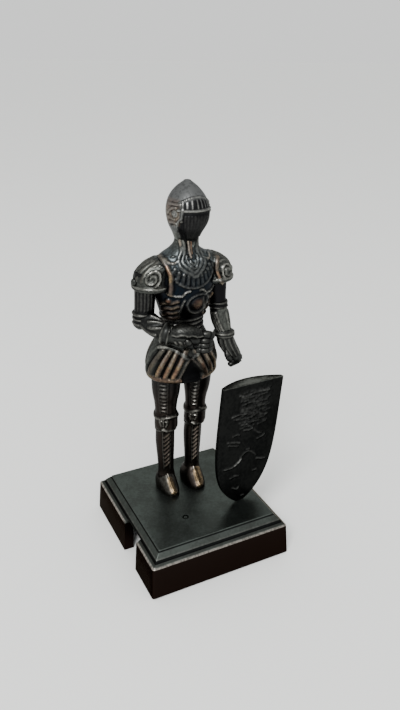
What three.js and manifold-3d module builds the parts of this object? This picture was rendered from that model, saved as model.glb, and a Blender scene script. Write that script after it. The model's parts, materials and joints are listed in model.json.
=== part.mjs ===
// A small cast-metal knight in full armour on a stepped, hollow plinth, with a shield standing beside it.
// Millimetres, +Z up, the figure facing -Y, with the origin under the middle of the whole.
import * as THREE from 'three';
import Module from 'manifold-3d';

const wasm = await Module();
wasm.setup();

// Driving dimensions, in millimetres and degrees.
const FIGURE_HEIGHT = 79;
const PLINTH_WIDTH = 36;
const PLINTH_DEPTH = 37.4;
const SKIRT_HEIGHT = 8.3;
const SKIRT_FLARE = 0.5;
const LEDGE_WIDTH = 1.05;
const LEDGE_RISE = 0.6;
const STEP_WIDTH = 0.4;
const STEP_RISE = 0.6;
const BEVEL_WIDTH = 1.05;
const BEVEL_RISE = 1.2;
const PLATE_RISE = 0.35;
const EDGE_ROUND = 0.3;
const PLINTH_WALL = 2;
const PLINTH_ROOF = 2;
const NOTCH_WIDTH = 7.6;
const NOTCH_FROM_FRONT = 10.4;
const SOCKET_DIAMETER = 1.6;
const SOCKET_DEPTH = 0.9;
const SOCKET_PIP = 0.7;
const SOCKET_FROM_FRONT = 10.7;
const SOCKET_FROM_LEFT = 13.2;
const FIGURE_FROM_FRONT = 23.3;
const FIGURE_FROM_LEFT = 17.2;
const SHIELD_WIDTH = 18.5;
const SHIELD_HEIGHT = 33.2;
const SHIELD_EDGE = 0.9;
const SHIELD_BULGE = 2.2;
const SHIELD_TURN = 9.7;
const SHIELD_TILT = 5.6;
const SHIELD_FROM_FRONT = 10.3;
const SHIELD_FROM_RIGHT = 7.9;
const SHIELD_RIB_WIDTH = 0.8;
const RELIEF_RISE = 0.35;
const FIT_GAP = 0.3;

// How far a cutter runs past the faces that it cuts.
const OVERCUT = 1;

const LEDGE_TOP = SKIRT_HEIGHT + LEDGE_RISE;
const STEP_TOP = LEDGE_TOP + STEP_RISE;
const BEVEL_TOP = STEP_TOP + BEVEL_RISE;
const PLATE_TOP = BEVEL_TOP + PLATE_RISE;
const SHARE = FIGURE_HEIGHT / 100;
const LEFT_EDGE = -PLINTH_WIDTH / 2;
const FRONT_EDGE = -PLINTH_DEPTH / 2;

// The figure leans a little to its left and forward as it rises, in shares of its height.
const LEAN_SIDE = 0.012;
const LEAN_FRONT = 0.018;

// A rib's root reaches this far to each side for a width of 1, and its ends are this much smaller.
const ROOT_SPREAD = 0.6;
const END_FADE = 0.45;

const radians = (degrees) => degrees * Math.PI / 180;
const vector = (x, y, z) => new THREE.Vector3(x, y, z);

// A point of the figure, given in hundredths of its height from between its soles, in millimetres.
function place(p) {
  return vector(
    LEFT_EDGE + FIGURE_FROM_LEFT + SHARE * (p.x + LEAN_SIDE * p.z),
    FRONT_EDGE + FIGURE_FROM_FRONT + SHARE * (p.y - LEAN_FRONT * p.z),
    PLATE_TOP + SHARE * p.z,
  );
}

// A closed solid from rings of points, counter-clockwise about the way they run, with a point at each end.
function skin(rings, first, last) {
  const sides = rings[0].length;
  const points = [...rings.flat(), first, last];
  const faces = [];
  const lastRing = (rings.length - 1) * sides;
  for (let j = 0; j < sides; j++) {
    const k = (j + 1) % sides;
    faces.push(points.length - 2, k, j, points.length - 1, lastRing + j, lastRing + k);
    for (let i = 0; i < rings.length - 1; i++) {
      const a = i * sides + j;
      const b = i * sides + k;
      faces.push(a, b, b + sides, a, b + sides, a + sides);
    }
  }
  const vertProperties = new Float32Array(points.flatMap((p) => [p.x, p.y, p.z]));
  return new wasm.Manifold(new wasm.Mesh({ numProp: 3, vertProperties, triVerts: new Uint32Array(faces) }));
}

const middle = (ring) => ring.reduce((sum, p) => sum.add(p), vector(0, 0, 0)).divideScalar(ring.length);
const capped = (rings) => skin(rings, middle(rings[0]), middle(rings[rings.length - 1]));
const joined = (solids) => solids.reduce((whole, solid) => whole.add(solid));

// One value of a row of numbers at a fractional place, on a smooth curve through them.
function between(row, t, key) {
  const i = Math.min(Math.floor(t), row.length - 2);
  const f = t - i;
  const at = (n) => row[Math.max(0, Math.min(row.length - 1, n))][key];
  const slope = (n) => (at(n + 1) - at(n - 1)) / 2;
  const span = at(i + 1) - at(i);
  const bend = 3 * span - 2 * slope(i) - slope(i + 1);
  return at(i) + f * (slope(i) + f * (bend + f * (slope(i) + slope(i + 1) - 2 * span)));
}

// A rounded body along a path of stations [x, y, z, half width, half depth], in hundredths of the height.
// Angles run round each section from the front, 0, to the figure's left, 90. Sections are level, or square
// to the path where a sideways direction is given, which then takes the place of the figure's left.
class Form {
  constructor(stations, sideways = null) {
    this.stations = stations;
    this.sideways = sideways;
    this.end = stations.length - 1;
  }

  centre(t) {
    return vector(between(this.stations, t, 0), between(this.stations, t, 1), between(this.stations, t, 2));
  }

  // A point at station t and an angle.
  at(t, angle) {
    const step = 0.01;
    const along = vector(0, 0, 1);
    const wide = vector(1, 0, 0);
    if (this.sideways) {
      along.copy(this.centre(Math.min(this.end, t + step)));
      along.sub(this.centre(Math.max(0, t - step))).normalize();
      wide.copy(this.sideways).addScaledVector(along, -this.sideways.dot(along)).normalize();
    }
    const deep = along.cross(wide);
    const reachWide = between(this.stations, t, 3) * Math.sin(radians(angle));
    const reachDeep = -between(this.stations, t, 4) * Math.cos(radians(angle));
    return this.centre(t).addScaledVector(wide, reachWide).addScaledVector(deep, reachDeep);
  }

  normal(t, angle) {
    const around = this.at(t, angle + 1).sub(this.at(t, angle - 1));
    const along = this.at(Math.min(this.end, t + 0.1), angle).sub(this.at(Math.max(0, t - 0.1), angle));
    return around.cross(along).normalize();
  }

  // The station at which a level body has a height.
  station(height) {
    let low = 0;
    let high = this.end;
    for (let n = 0; n < 24; n++) {
      const t = (low + high) / 2;
      if (this.centre(t).z < height) low = t;
      else high = t;
    }
    return (low + high) / 2;
  }

  solid(sides, bulge = [0, 0]) {
    const rings = [];
    for (let i = 0; i <= this.end; i++) {
      const ring = [];
      for (let j = 0; j < sides; j++) ring.push(place(this.at(i, 360 * j / sides)));
      rings.push(ring);
    }
    const pole = (t, near, out) => {
      const outward = this.centre(t).sub(this.centre(near)).normalize();
      return place(this.centre(t).addScaledVector(outward, out));
    };
    return skin(rings, pole(0, 0.1, bulge[0]), pole(this.end, this.end - 0.1, bulge[1]));
  }

  // A raised rib along [height, angle] pairs on a level body, or [station, angle] pairs on another.
  rib(path, width, rise, lastFade = END_FADE) {
    const spots = path.map(([where, angle]) => [this.sideways ? where : this.station(where), angle]);
    const points = spots.map(([t, angle]) => this.at(t, angle));
    return ridge(points, spots.map(([t, angle]) => this.normal(t, angle)), { width, rise, lastFade });
  }
}

// A rib of three-sided section along points: wide at the root, sharp at the crest, and smaller at its ends.
// The root is sunk so that it stays under a rounded surface between the points.
function ridge(points, normals, { width, rise, lastFade = END_FADE, sink = 0.5, toPlace = place }) {
  const last = points.length - 1;
  const rings = points.map((p, i) => {
    const along = points[Math.min(last, i + 1)].clone().sub(points[Math.max(0, i - 1)]).normalize();
    const across = normals[i].clone().cross(along).normalize();
    const fade = i === 0 ? END_FADE : i === last ? lastFade : 1;
    const corner = (side, up) => {
      const spread = side * ROOT_SPREAD * width * fade;
      return toPlace(p.clone().addScaledVector(across, spread).addScaledVector(normals[i], up));
    };
    return [corner(1, -sink), corner(0, rise * fade), corner(-1, -sink)];
  });
  return capped(rings);
}

// A ball stretched along the three axes, in shares.
function ball([x, y, z], [wide, deep, tall], sides) {
  const rows = sides / 2;
  const rings = [];
  for (let i = 1; i < rows; i++) {
    const lift = -Math.cos(Math.PI * i / rows);
    const reach = Math.sin(Math.PI * i / rows);
    rings.push(Array.from({ length: sides }, (_, j) => {
      const a = 2 * Math.PI * j / sides;
      return place(vector(x + wide * reach * Math.cos(a), y + deep * reach * Math.sin(a), z + tall * lift));
    }));
  }
  return skin(rings, place(vector(x, y, z - tall)), place(vector(x, y, z + tall)));
}

// A prism of outline points [x, z], counter-clockwise as seen from the front, from one depth to another.
function prism(outline, front, back, toPlace = place) {
  const ring = (y) => outline.map(([x, z]) => toPlace(vector(x, y, z)));
  return capped([ring(back), ring(front)]);
}

// Helmet: a pointed egg with a comb and a barred window between two rims.
const helm = new Form([
  [0.4, -1, 82.4, 3, 3.4],
  [0.4, -1, 84.2, 3.1, 3.6],
  [0.4, -1.2, 86.4, 3.9, 4.7],
  [0.4, -1.5, 88.8, 5.1, 6],
  [0.4, -1.6, 91.8, 5.7, 6.8],
  [0.4, -1.6, 94.4, 5.5, 6.5],
  [0.4, -1.4, 96.5, 4.6, 5.5],
  [0.5, -1.1, 98.5, 3, 3.6],
  [0.6, -0.9, 100.1, 1, 1.2],
]);
const HELM_TURN = 1.5;

function helmet() {
  const parts = [helm.solid(16, [0, 0.3])];
  const at = (height, angle) => [height, HELM_TURN + angle];
  const arch = (low, rise) => [-66, -46, -23, 0, 23, 46, 66]
    .map((angle) => at(low + rise * Math.cos(radians(1.3 * angle)), angle));
  parts.push(helm.rib(arch(95.2, 1.6), 1.2, 0.6));
  parts.push(helm.rib(arch(92.8, 0.3), 1.1, 0.7));
  for (const turn of [-33, -11, 11, 33]) {
    parts.push(helm.rib([at(92.9, turn), at(96.4, turn)], 0.9, 0.6));
  }
  parts.push(helm.rib([at(88, 180), at(91.5, 180), at(94.8, 180), at(97.6, 180)], 1.4, 0.5));
  for (const side of [-1, 1]) {
    const pivot = helm.at(helm.station(92.6), HELM_TURN + 67 * side);
    parts.push(ball([pivot.x, pivot.y, pivot.z], [0.7, 1, 1.1], 6));
  }
  return parts;
}

// Cuirass: waist, chest and neck.
const cuirass = new Form([
  [0, 0.3, 54.5, 6.6, 5.2],
  [0.1, 0.3, 57.2, 6.7, 5.2],
  [0.3, 0.3, 59.8, 6.2, 4.8],
  [0.3, 0.2, 62.6, 6.9, 5.5],
  [0.2, 0, 66, 7.9, 6.5],
  [0.1, -0.2, 70, 8.9, 7.2],
  [0.1, -0.3, 74, 9.3, 7.1],
  [0.1, -0.2, 77.4, 8.8, 6.3],
  [0.1, 0, 79.8, 7.2, 5],
  [0.2, -0.4, 81.6, 4.6, 4.1],
  [0.3, -0.8, 83.2, 3.3, 3.6],
  [0.4, -1, 85, 3.1, 3.5],
]);
const GORGET_TURN = 3;

function torso() {
  const parts = [cuirass.solid(18)];
  const at = (height, angle) => [height, GORGET_TURN + angle];
  for (const [low, spread] of [[74.9, 1], [76.6, 0.55]]) {
    parts.push(cuirass.rib([
      at(82.8, -44 * spread),
      at(80.8, -33 * spread),
      at(78, -25 * spread),
      at(low, 0),
      at(78, 25 * spread),
      at(80.8, 33 * spread),
      at(82.8, 44 * spread),
    ], 1, 0.6));
  }
  for (let i = -2; i <= 2; i++) {
    const turn = 17 * i;
    const drop = 0.05 * Math.abs(turn);
    parts.push(cuirass.rib([at(75.2 + drop, 0.8 * turn), at(72.6 + drop, turn)], 1.5, 0.45));
  }
  const roll = [[77.4, -51], [73.3, -31], [71.6, -10], [71.6, 10], [73.3, 31], [77.4, 51]];
  parts.push(cuirass.rib(roll.map(([height, angle]) => at(height, angle)), 1, 0.6));
  parts.push(ball([1.8, -6.1, 66.7], [3, 1.1, 3], 8));
  for (const side of [-1, 1]) {
    parts.push(cuirass.rib([at(70.4, 54 * side), at(69.4, 31 * side), at(71, 10 * side)], 1, 0.5));
    for (const height of [66.4, 63]) {
      const flank = [at(height, 76 * side), at(height + 0.7, 54 * side), at(height + 1.4, 34 * side)];
      parts.push(cuirass.rib(flank, 1.5, 0.5));
    }
  }
  parts.push(cuirass.rib([[70.5, -44], [74.4, -42], [77.7, -50], [79.5, -71]], 1.6, 0.8));
  parts.push(cuirass.rib([[61.2, -60], [60.8, -20], [60.8, 20], [61.2, 60]], 1, 0.5));
  parts.push(cuirass.rib([[62, 180], [69.5, 180], [77, 180]], 1.2, 0.5));
  return parts;
}

// Tassets: a short bell of plates round the hips with a rolled hem, parted in front.
const tassets = new Form([
  [0.3, 0.2, 42.3, 9.8, 7.5],
  [0.3, 0.2, 42.9, 10.9, 8.3],
  [0.3, 0.2, 43.8, 11.2, 8.6],
  [0.2, 0.2, 44.5, 10.8, 8.1],
  [0.1, 0.2, 47, 10.9, 8.3],
  [0.1, 0.2, 50, 10.3, 7.9],
  [0.2, 0.2, 53, 9, 7],
  [0.2, 0.2, 55.6, 7.6, 6],
  [0.2, 0.2, 57.6, 6.6, 5.2],
]);
const TASSET_MIDDLE = -3;

function hips() {
  const slit = prism([[-0.4, 50.6], [-4, 43], [-4, 40], [3.2, 40], [3.2, 43]], -13, -6.9);
  const inside = new Form([[0.1, 0.2, 41, 8.4, 6.4], [0.1, 0.2, 45.5, 9, 6.8]]);
  const parts = [tassets.solid(20).subtract(slit).subtract(inside.solid(12))];
  for (const side of [-1, 1]) {
    const at = (height, turn) => [height, TASSET_MIDDLE + side * turn];
    parts.push(tassets.rib([
      at(44, 22),
      at(50.2, 5),
      at(52.6, 24),
      at(53.8, 46),
      at(52.8, 70),
      at(49.4, 84),
      at(44, 94),
    ], 1.2, 0.6));
    for (let i = 0; i < 4; i++) {
      const flute = [at(52, 11 + 15 * i), at(48.6, 18 + 16 * i), at(44.6, 28 + 17 * i)];
      parts.push(tassets.rib(flute, 2, 0.6, 0.7));
    }
  }
  return parts;
}

// One leg: thigh, knee plate, shin and pointed shoe. The strips of rungs and of twist face their own ways.
function leg({ hip, knee, ankle, stout, boot, rungTurn, twistTurn, bootTurn }) {
  const shape = [
    [3.6, 1.6, 2.4, 2.6],
    [7, 1.5, 2.5, 2.6],
    [12, 1.5, 2.7, 2.8],
    [18, 1.5, 3, 3.1],
    [22.6, 1.1, 3, 3.1],
    [24, 0.5, 3.2, 3.5],
    [24.8, 0.2, 3.6, 3.9],
    [27, 0, 3.6, 3.9],
    [29.6, -0.2, 3.5, 4.1],
    [30.3, 0.2, 3.3, 3.6],
    [33.5, 0.3, 3.6, 3.8],
    [38, 0.2, 4.3, 4.5],
    [44, 0.2, 4.6, 4.8],
  ];
  const kneeHeight = 28;
  const hipHeight = 42;
  const across = (z) => (z < kneeHeight
    ? ankle + (knee - ankle) * z / kneeHeight
    : knee + (hip - knee) * (z - kneeHeight) / (hipHeight - kneeHeight));
  const limb = new Form(shape.map(([z, y, wide, deep]) => [across(z), y, z, wide * stout, deep * stout]));
  const parts = [limb.solid(12)];
  for (let i = 0; i < 5; i++) {
    const height = 31.6 + 2.1 * i;
    parts.push(limb.rib([[height + 0.3, rungTurn - 16], [height, rungTurn + 16]], 1, 0.5));
  }
  parts.push(limb.rib([[25.6, rungTurn], [29.2, rungTurn]], 1.2, 0.6));
  for (let i = 0; i < 4; i++) {
    const height = 10 + 3.3 * i;
    parts.push(limb.rib([[height, twistTurn - 17], [height + 1.8, twistTurn + 17]], 1, 0.5));
  }
  const sections = [
    [-0.7, 5, 1, 1.8],
    [-0.6, 4.3, 2.2, 4.2],
    [-0.4, 2.8, 2.9, 6.4],
    [-0.3, 0.9, 3, 7.3],
    [-0.2, -1.1, 2.9, 5.6],
    [-0.05, -3.4, 2.4, 3.1],
    [0, -4.9, 1.6, 1.9],
  ];
  const shoe = new Form(sections.map(([drift, y, half, tall]) => (
    [ankle + drift, y, tall * 0.2, half * boot, tall * 0.8]
  )), vector(1, 0, 0));
  parts.push(shoe.solid(10, [0.2, 0.5]));
  parts.push(shoe.rib([[2.8, bootTurn], [4.3, bootTurn], [5.8, bootTurn]], 0.9, 0.35));
  return parts;
}

// One shoulder plate: a cap that slopes out from the neck, with a flared rim, a scroll and perhaps a strap.
function pauldron(side, x, scrollTurn, strap) {
  const dome = new Form([
    [0.3, 70.9, 5, 5.1],
    [0.4, 71.3, 5.6, 5.7],
    [0.4, 71.9, 5.7, 5.8],
    [0.2, 72.7, 5.3, 5.4],
    [0, 74.6, 5.3, 5.4],
    [-0.7, 76.6, 4.8, 4.9],
    [-2, 78.3, 3.9, 4],
    [-3.9, 79.8, 2.2, 2.4],
  ].map(([shift, z, wide, deep]) => [side * (x + shift), 0.2, z, wide, deep]));
  const parts = [dome.solid(16, [0, 0.4])];
  if (strap) parts.push(dome.rib(strap, 1.3, 0.6));
  const scroll = [];
  for (let i = 0; i <= 8; i++) {
    const turn = radians(150 - 60 * i);
    const reach = 0.7 + 0.19 * i;
    scroll.push([74.8 + reach * Math.sin(turn), scrollTurn + 10.5 * side * reach * Math.cos(turn)]);
  }
  parts.push(dome.rib(scroll, 1, 0.6));
  for (const turn of [60, 125]) {
    const path = [[74.4, scrollTurn + turn * side], [79, scrollTurn + (turn - 13) * side]];
    parts.push(dome.rib(path, 1.2, 0.45));
  }
  parts.push(ball([side * (x + 5.5), 0.2, 73.4], [1, 1.1, 1], 6));
  return parts;
}

function finger(points, thick) {
  const path = new Form(points.map((p) => [...p, thick, thick]), vector(0.1, 0.2, 1));
  return path.solid(5, [thick * 0.6, thick * 0.6]);
}

// The bent arm: elbow plates, forearm, flared cuff, gauntlet and closed fist. Below the elbow an angle of 0
// faces out from the body and 90 faces down.
function bentArm() {
  const upper = new Form([
    [-11.6, 0.7, 61, 2.9, 2.7],
    [-11.4, 0.4, 68, 3, 2.8],
    [-11.4, 0.3, 76, 3, 2.9],
  ]);
  const elbow = new Form([
    [-12.4, 1.6, 58.6, 1, 1.2],
    [-12.2, 1.3, 59.6, 2.2, 2.6],
    [-12, 1.1, 60.7, 2.7, 3.1],
    [-11.9, 1, 61.1, 2.5, 2.8],
    [-11.9, 1, 62.2, 2.8, 3.1],
    [-11.9, 1, 62.6, 2.6, 2.9],
    [-11.8, 0.9, 63.7, 3, 3.2],
    [-11.7, 0.9, 64.3, 2.8, 2.7],
  ]);
  const down = vector(0, 0, -1);
  const forearm = new Form([
    [-11.6, 1, 61.8, 2.8, 2.6],
    [-10.8, -1.1, 61.3, 3.1, 2.8],
    [-9.5, -3.5, 60.2, 3, 2.7],
    [-8.2, -5.6, 59.3, 2.4, 2.3],
  ], down);
  const cuff = new Form([
    [-8.3, -5.6, 59.3, 2.3, 2.2],
    [-8, -6, 59.2, 3.3, 3],
    [-7.4, -6.7, 59.1, 2.7, 2.5],
    [-7, -7, 59, 3.2, 2.9],
    [-6.5, -7.4, 58.9, 2.6, 2.4],
    [-4.4, -8.9, 58.6, 2.5, 2.1],
    [-1.8, -9.6, 58, 2.3, 1.8],
    [0.6, -9.6, 57.2, 1.9, 1.6],
  ], down);
  const plate = new Form([
    [-6.3, -8, 60, 1.6, 2.2],
    [-4.6, -9.2, 60.4, 2, 2.6],
    [-2.4, -9.9, 60.2, 2, 2.5],
    [-0.2, -10.3, 59.3, 1.6, 2],
    [1.6, -10.4, 58.4, 0.7, 1],
  ], down);
  const parts = [upper.solid(8), elbow.solid(10), forearm.solid(10), cuff.solid(10), plate.solid(8)];
  parts.push(forearm.rib([[1.3, -72], [1.9, -85], [2.6, -98]], 1.1, 0.4));
  parts.push(forearm.rib([[1.6, -12], [2, -26], [2.6, -50]], 1.1, 0.4));
  parts.push(finger([[1, -9.4, 58.4], [3, -10.6, 58.5], [4.7, -10, 57.6]], 1.25));
  for (let i = 0; i < 3; i++) {
    const knuckle = 57 - 1.5 * i;
    parts.push(finger([[0.6, -9.8, knuckle], [2.2, -11.3, knuckle], [4.6, -9.8, 56.4 - 1.35 * i]], 0.95));
  }
  parts.push(finger([[-3.6, -9.6, 58.8], [-3.1, -11.2, 57.4], [-1.8, -10.6, 55.4]], 0.9));
  parts.push(ball([1.6, -8.8, 55.8], [3.2, 1.9, 2.4], 8));
  return parts;
}

// The hanging arm: upper arm, fluted forearm, cuff and a long gauntlet hand.
function hangingArm() {
  const limb = new Form([
    [12.6, -2.3, 55, 2.3, 2.3],
    [12, -1.4, 58.5, 2.8, 2.6],
    [11.7, -0.6, 62, 2.7, 2.6],
    [11.7, -0.4, 62.6, 2.9, 2.9],
    [11.6, -0.3, 63.9, 2.9, 2.9],
    [11.5, -0.1, 64.6, 2.6, 2.7],
    [11.2, 0.2, 70, 3, 2.9],
    [11.2, 0.3, 76, 3, 2.9],
  ]);
  const parts = [limb.solid(10)];
  for (const turn of [-50, -10]) {
    parts.push(limb.rib([[56.2, turn], [61.2, turn]], 1, 0.45));
  }
  const glove = new Form([
    [16.3, -4.8, 44.8, 1.8, 1.3],
    [16.1, -4.6, 45.9, 2.3, 1.6],
    [15.2, -4.1, 47.9, 2.7, 1.9],
    [13.8, -3.4, 50.7, 2.9, 2.3],
    [13.1, -2.9, 53.2, 2.7, 2.5],
    [13, -2.8, 53.8, 3.2, 2.9],
    [12.9, -2.6, 54.6, 3.2, 2.9],
    [12.6, -2.4, 55.4, 2.4, 2.3],
  ]);
  parts.push(glove.solid(10));
  for (const turn of [-29, 10]) {
    parts.push(glove.rib([[47.8, turn], [52.4, turn]], 1, 0.4));
  }
  for (let i = 0; i < 4; i++) {
    const root = vector(14.9 + i, -4.8 + 0.2 * i, 46.1);
    const knuckle = vector(14.9 + i, -5.4 + 0.3 * i, 44.9);
    const tip = vector(14.1 + 0.9 * i, -5.2 + 0.3 * i, 44.2);
    parts.push(finger([root.toArray(), knuckle.toArray(), tip.toArray()], 0.9));
  }
  parts.push(finger([[13.1, -4.4, 49.6], [12.8, -5.6, 47.8], [13.5, -6, 46.4]], 0.9));
  return parts;
}

const standing = PLATE_TOP + FIT_GAP;
const below = [[-PLINTH_WIDTH, 0], [PLINTH_WIDTH, 0], [PLINTH_WIDTH, standing], [-PLINTH_WIDTH, standing]];
const underSoles = prism(below, -PLINTH_DEPTH, PLINTH_DEPTH, (p) => p);
const knightSolid = joined([
  ...helmet(), ...torso(), ...hips(),
  ...leg({
    hip: -4.8, knee: -4.8, ankle: -3.8, stout: 1, boot: 1.03,
    rungTurn: -36, twistTurn: -14, bootTurn: 190,
  }),
  ...leg({
    hip: 5.9, knee: 5.2, ankle: 5.3, stout: 0.95, boot: 1.13,
    rungTurn: -36, twistTurn: -6, bootTurn: 185,
  }),
  ...pauldron(-1, 9, -26), ...pauldron(1, 9.8, 26, [[71.2, -3], [73.5, -11], [76, -12], [78.6, 27]]),
  ...bentArm(), ...hangingArm(),
]).subtract(underSoles);

// Plinth: rectangular rings with rounded corners, from the foot up.
function slab(levels, corner) {
  const quarter = 2;
  const rings = levels.map(([z, wide, deep]) => {
    const ring = [];
    for (let side = 0; side < 4; side++) {
      const x = (side === 0 || side === 3 ? 1 : -1) * (wide - corner);
      const y = (side < 2 ? 1 : -1) * (deep - corner);
      for (let j = 0; j <= quarter; j++) {
        const a = Math.PI / 2 * (side + j / quarter);
        ring.push(vector(x + corner * Math.cos(a), y + corner * Math.sin(a), z));
      }
    }
    return ring;
  });
  return capped(rings);
}

function round(x, y, low, high, diameter, sides) {
  const ring = (z) => Array.from({ length: sides }, (_, j) => {
    const a = 2 * Math.PI * j / sides;
    return vector(x + diameter / 2 * Math.cos(a), y + diameter / 2 * Math.sin(a), z);
  });
  return capped([ring(low), ring(high)]);
}

function plinthBody() {
  const wide = PLINTH_WIDTH / 2;
  const deep = PLINTH_DEPTH / 2;
  const level = (z, inset) => [z, wide - inset, deep - inset];
  const step = LEDGE_WIDTH + STEP_WIDTH;
  const plate = step + BEVEL_WIDTH;
  const outside = slab([
    level(0, -SKIRT_FLARE),
    level(SKIRT_HEIGHT - EDGE_ROUND, 0),
    level(SKIRT_HEIGHT, EDGE_ROUND),
    level(LEDGE_TOP, LEDGE_WIDTH),
    level(STEP_TOP, step),
    level(BEVEL_TOP, plate),
    level(PLATE_TOP, plate + PLATE_RISE / 2),
  ], EDGE_ROUND * 2);
  const ceiling = PLATE_TOP - PLINTH_ROOF;
  const hollow = slab([
    [-OVERCUT, wide - PLINTH_WALL, deep - PLINTH_WALL],
    [SKIRT_HEIGHT - PLINTH_ROOF, wide - PLINTH_WALL, deep - PLINTH_WALL],
    [ceiling, wide - PLINTH_WALL - LEDGE_WIDTH - EDGE_ROUND, deep - PLINTH_WALL - LEDGE_WIDTH - EDGE_ROUND],
  ], EDGE_ROUND);
  const notchFront = FRONT_EDGE + NOTCH_FROM_FRONT;
  const notchStart = LEFT_EDGE - SKIRT_FLARE - OVERCUT;
  const notchEnd = LEFT_EDGE + PLINTH_WALL + LEDGE_WIDTH + EDGE_ROUND;
  const notch = capped([notchStart, notchEnd].map((x) => [
    vector(x, notchFront, -OVERCUT),
    vector(x, notchFront + NOTCH_WIDTH, -OVERCUT),
    vector(x, notchFront + NOTCH_WIDTH, LEDGE_TOP),
    vector(x, notchFront, LEDGE_TOP),
  ]));
  const socketX = LEFT_EDGE + SOCKET_FROM_LEFT;
  const socketY = FRONT_EDGE + SOCKET_FROM_FRONT;
  const floor = PLATE_TOP - SOCKET_DEPTH;
  const pip = round(socketX, socketY, floor - OVERCUT, PLATE_TOP - PLATE_RISE, SOCKET_PIP, 10);
  const socket = round(socketX, socketY, floor, PLATE_TOP + OVERCUT, SOCKET_DIAMETER, 16).subtract(pip);
  return outside.subtract(hollow).subtract(notch).subtract(socket);
}

// Shield: flat in front with rounded sides drawn to a foot, swelling behind, with low heraldic carving.
const shieldHalf = (up) => SHIELD_WIDTH / 2 * (1 - (1 - up) ** 5.3) ** 0.77;

// A point of the shield: across and up its own face from its foot, and out towards its front.
function onShield(across, up, out) {
  const turn = radians(SHIELD_TURN);
  const tilt = radians(SHIELD_TILT);
  const x = across * Math.cos(tilt) + up * Math.sin(tilt);
  const z = up * Math.cos(tilt) - across * Math.sin(tilt);
  return vector(
    -LEFT_EDGE - SHIELD_FROM_RIGHT + x * Math.cos(turn) + out * Math.sin(turn),
    FRONT_EDGE + SHIELD_FROM_FRONT + x * Math.sin(turn) - out * Math.cos(turn),
    PLATE_TOP + z,
  );
}

// A low rib on the shield's face along [across, up] pairs, shares of its half width and of its height.
function shieldRib(path) {
  const points = path.map(([across, up]) => vector(across * SHIELD_WIDTH / 2, up * SHIELD_HEIGHT, 0));
  return ridge(points, points.map(() => vector(0, 0, 1)), {
    width: SHIELD_RIB_WIDTH,
    rise: RELIEF_RISE,
    sink: SHIELD_EDGE / 3,
    toPlace: (p) => onShield(p.x, p.y, p.z),
  });
}

function shieldBody() {
  const rows = 12;
  const columns = 6;
  const rings = [];
  for (let i = 1; i <= rows; i++) {
    const up = (i / rows) ** 1.6;
    const half = shieldHalf(up);
    const ring = [onShield(half, up * SHIELD_HEIGHT, 0), onShield(-half, up * SHIELD_HEIGHT, 0)];
    for (let j = 0; j <= columns; j++) {
      const f = 2 * j / columns - 1;
      const swell = SHIELD_BULGE * (1 - f * f) * 2 * half / SHIELD_WIDTH;
      ring.push(onShield(half * f, up * SHIELD_HEIGHT, -SHIELD_EDGE - swell));
    }
    rings.push(ring.reverse());
  }
  const body = skin(rings, onShield(0, 0, -SHIELD_EDGE / 2), middle(rings[rows - 1]));
  const strokes = [
    [[-0.46, 0.93], [0.05, 0.93], [0.53, 0.93]],
    [[-0.35, 0.87], [0.1, 0.85], [0.42, 0.85]],
    [[-0.39, 0.81], [0.15, 0.79], [0.64, 0.74]],
    [[-0.66, 0.765], [-0.42, 0.78], [-0.2, 0.785]],
    [[-0.24, 0.71], [0.2, 0.7]],
    [[-0.22, 0.64], [0.22, 0.63]],
    [[0.22, 0.67], [0.43, 0.61], [0.58, 0.64]],
    [[0.3, 0.55], [0.62, 0.56]],
    [[-0.66, 0.57], [-0.24, 0.55]],
    [[-0.68, 0.34], [-0.42, 0.345], [-0.14, 0.4], [0.08, 0.45], [0.3, 0.41]],
    [[0.38, 0.36], [0.74, 0.33]],
    [[-0.45, 0.26], [-0.12, 0.25]],
    [[-0.3, 0.14], [0.02, 0.15]],
  ];
  return joined([body, ...strokes.map(shieldRib)]).subtract(underSoles);
}

const pieces = [
  { name: 'plinth', solid: plinthBody(), color: 0x1d2420, roughness: 0.45, metalness: 0.6 },
  { name: 'knight', solid: knightSolid, color: 0x2a2a28, roughness: 0.35, metalness: 0.85 },
  { name: 'shield', solid: shieldBody(), color: 0x121213, roughness: 0.4, metalness: 0.7 },
].map(({ solid, ...look }) => ({ mesh: solid.getMesh(), look }));

const geometries = pieces.map(({ mesh }) => {
  const positions = new Float32Array(mesh.numVert * 3);
  for (let i = 0; i < mesh.numVert; i++) {
    for (let k = 0; k < 3; k++) positions[3 * i + k] = mesh.vertProperties[mesh.numProp * i + k];
  }
  const geometry = new THREE.BufferGeometry();
  geometry.setAttribute('position', new THREE.BufferAttribute(positions, 3));
  geometry.setIndex(new THREE.BufferAttribute(new Uint32Array(mesh.triVerts), 1));
  return geometry;
});

// The shield stands out past the plinth, so the whole is moved until its own box is centred on the origin.
const whole = new THREE.Box3();
for (const geometry of geometries) {
  geometry.computeBoundingBox();
  whole.union(geometry.boundingBox);
}
const boxMiddle = whole.getCenter(vector(0, 0, 0));

const group = new THREE.Group();
geometries.forEach((geometry, i) => {
  const { name, ...look } = pieces[i].look;
  geometry.translate(-boxMiddle.x, -boxMiddle.y, 0);
  geometry.computeVertexNormals();
  const part = new THREE.Mesh(geometry, new THREE.MeshStandardMaterial(look));
  part.name = name;
  group.add(part);
});

export default group;
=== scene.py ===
# %% [markdown]
# # A small cast-metal knight
#
# The object is a desk figurine of zinc alloy with an antique bronze finish: a knight in full plate armour,
# a hollow stepped plinth and a long shield. This lesson builds the fine surface over the packed solids,
# which already fix every size and place. Each cell explains one step, runs it and prints what came out.

import json

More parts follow.
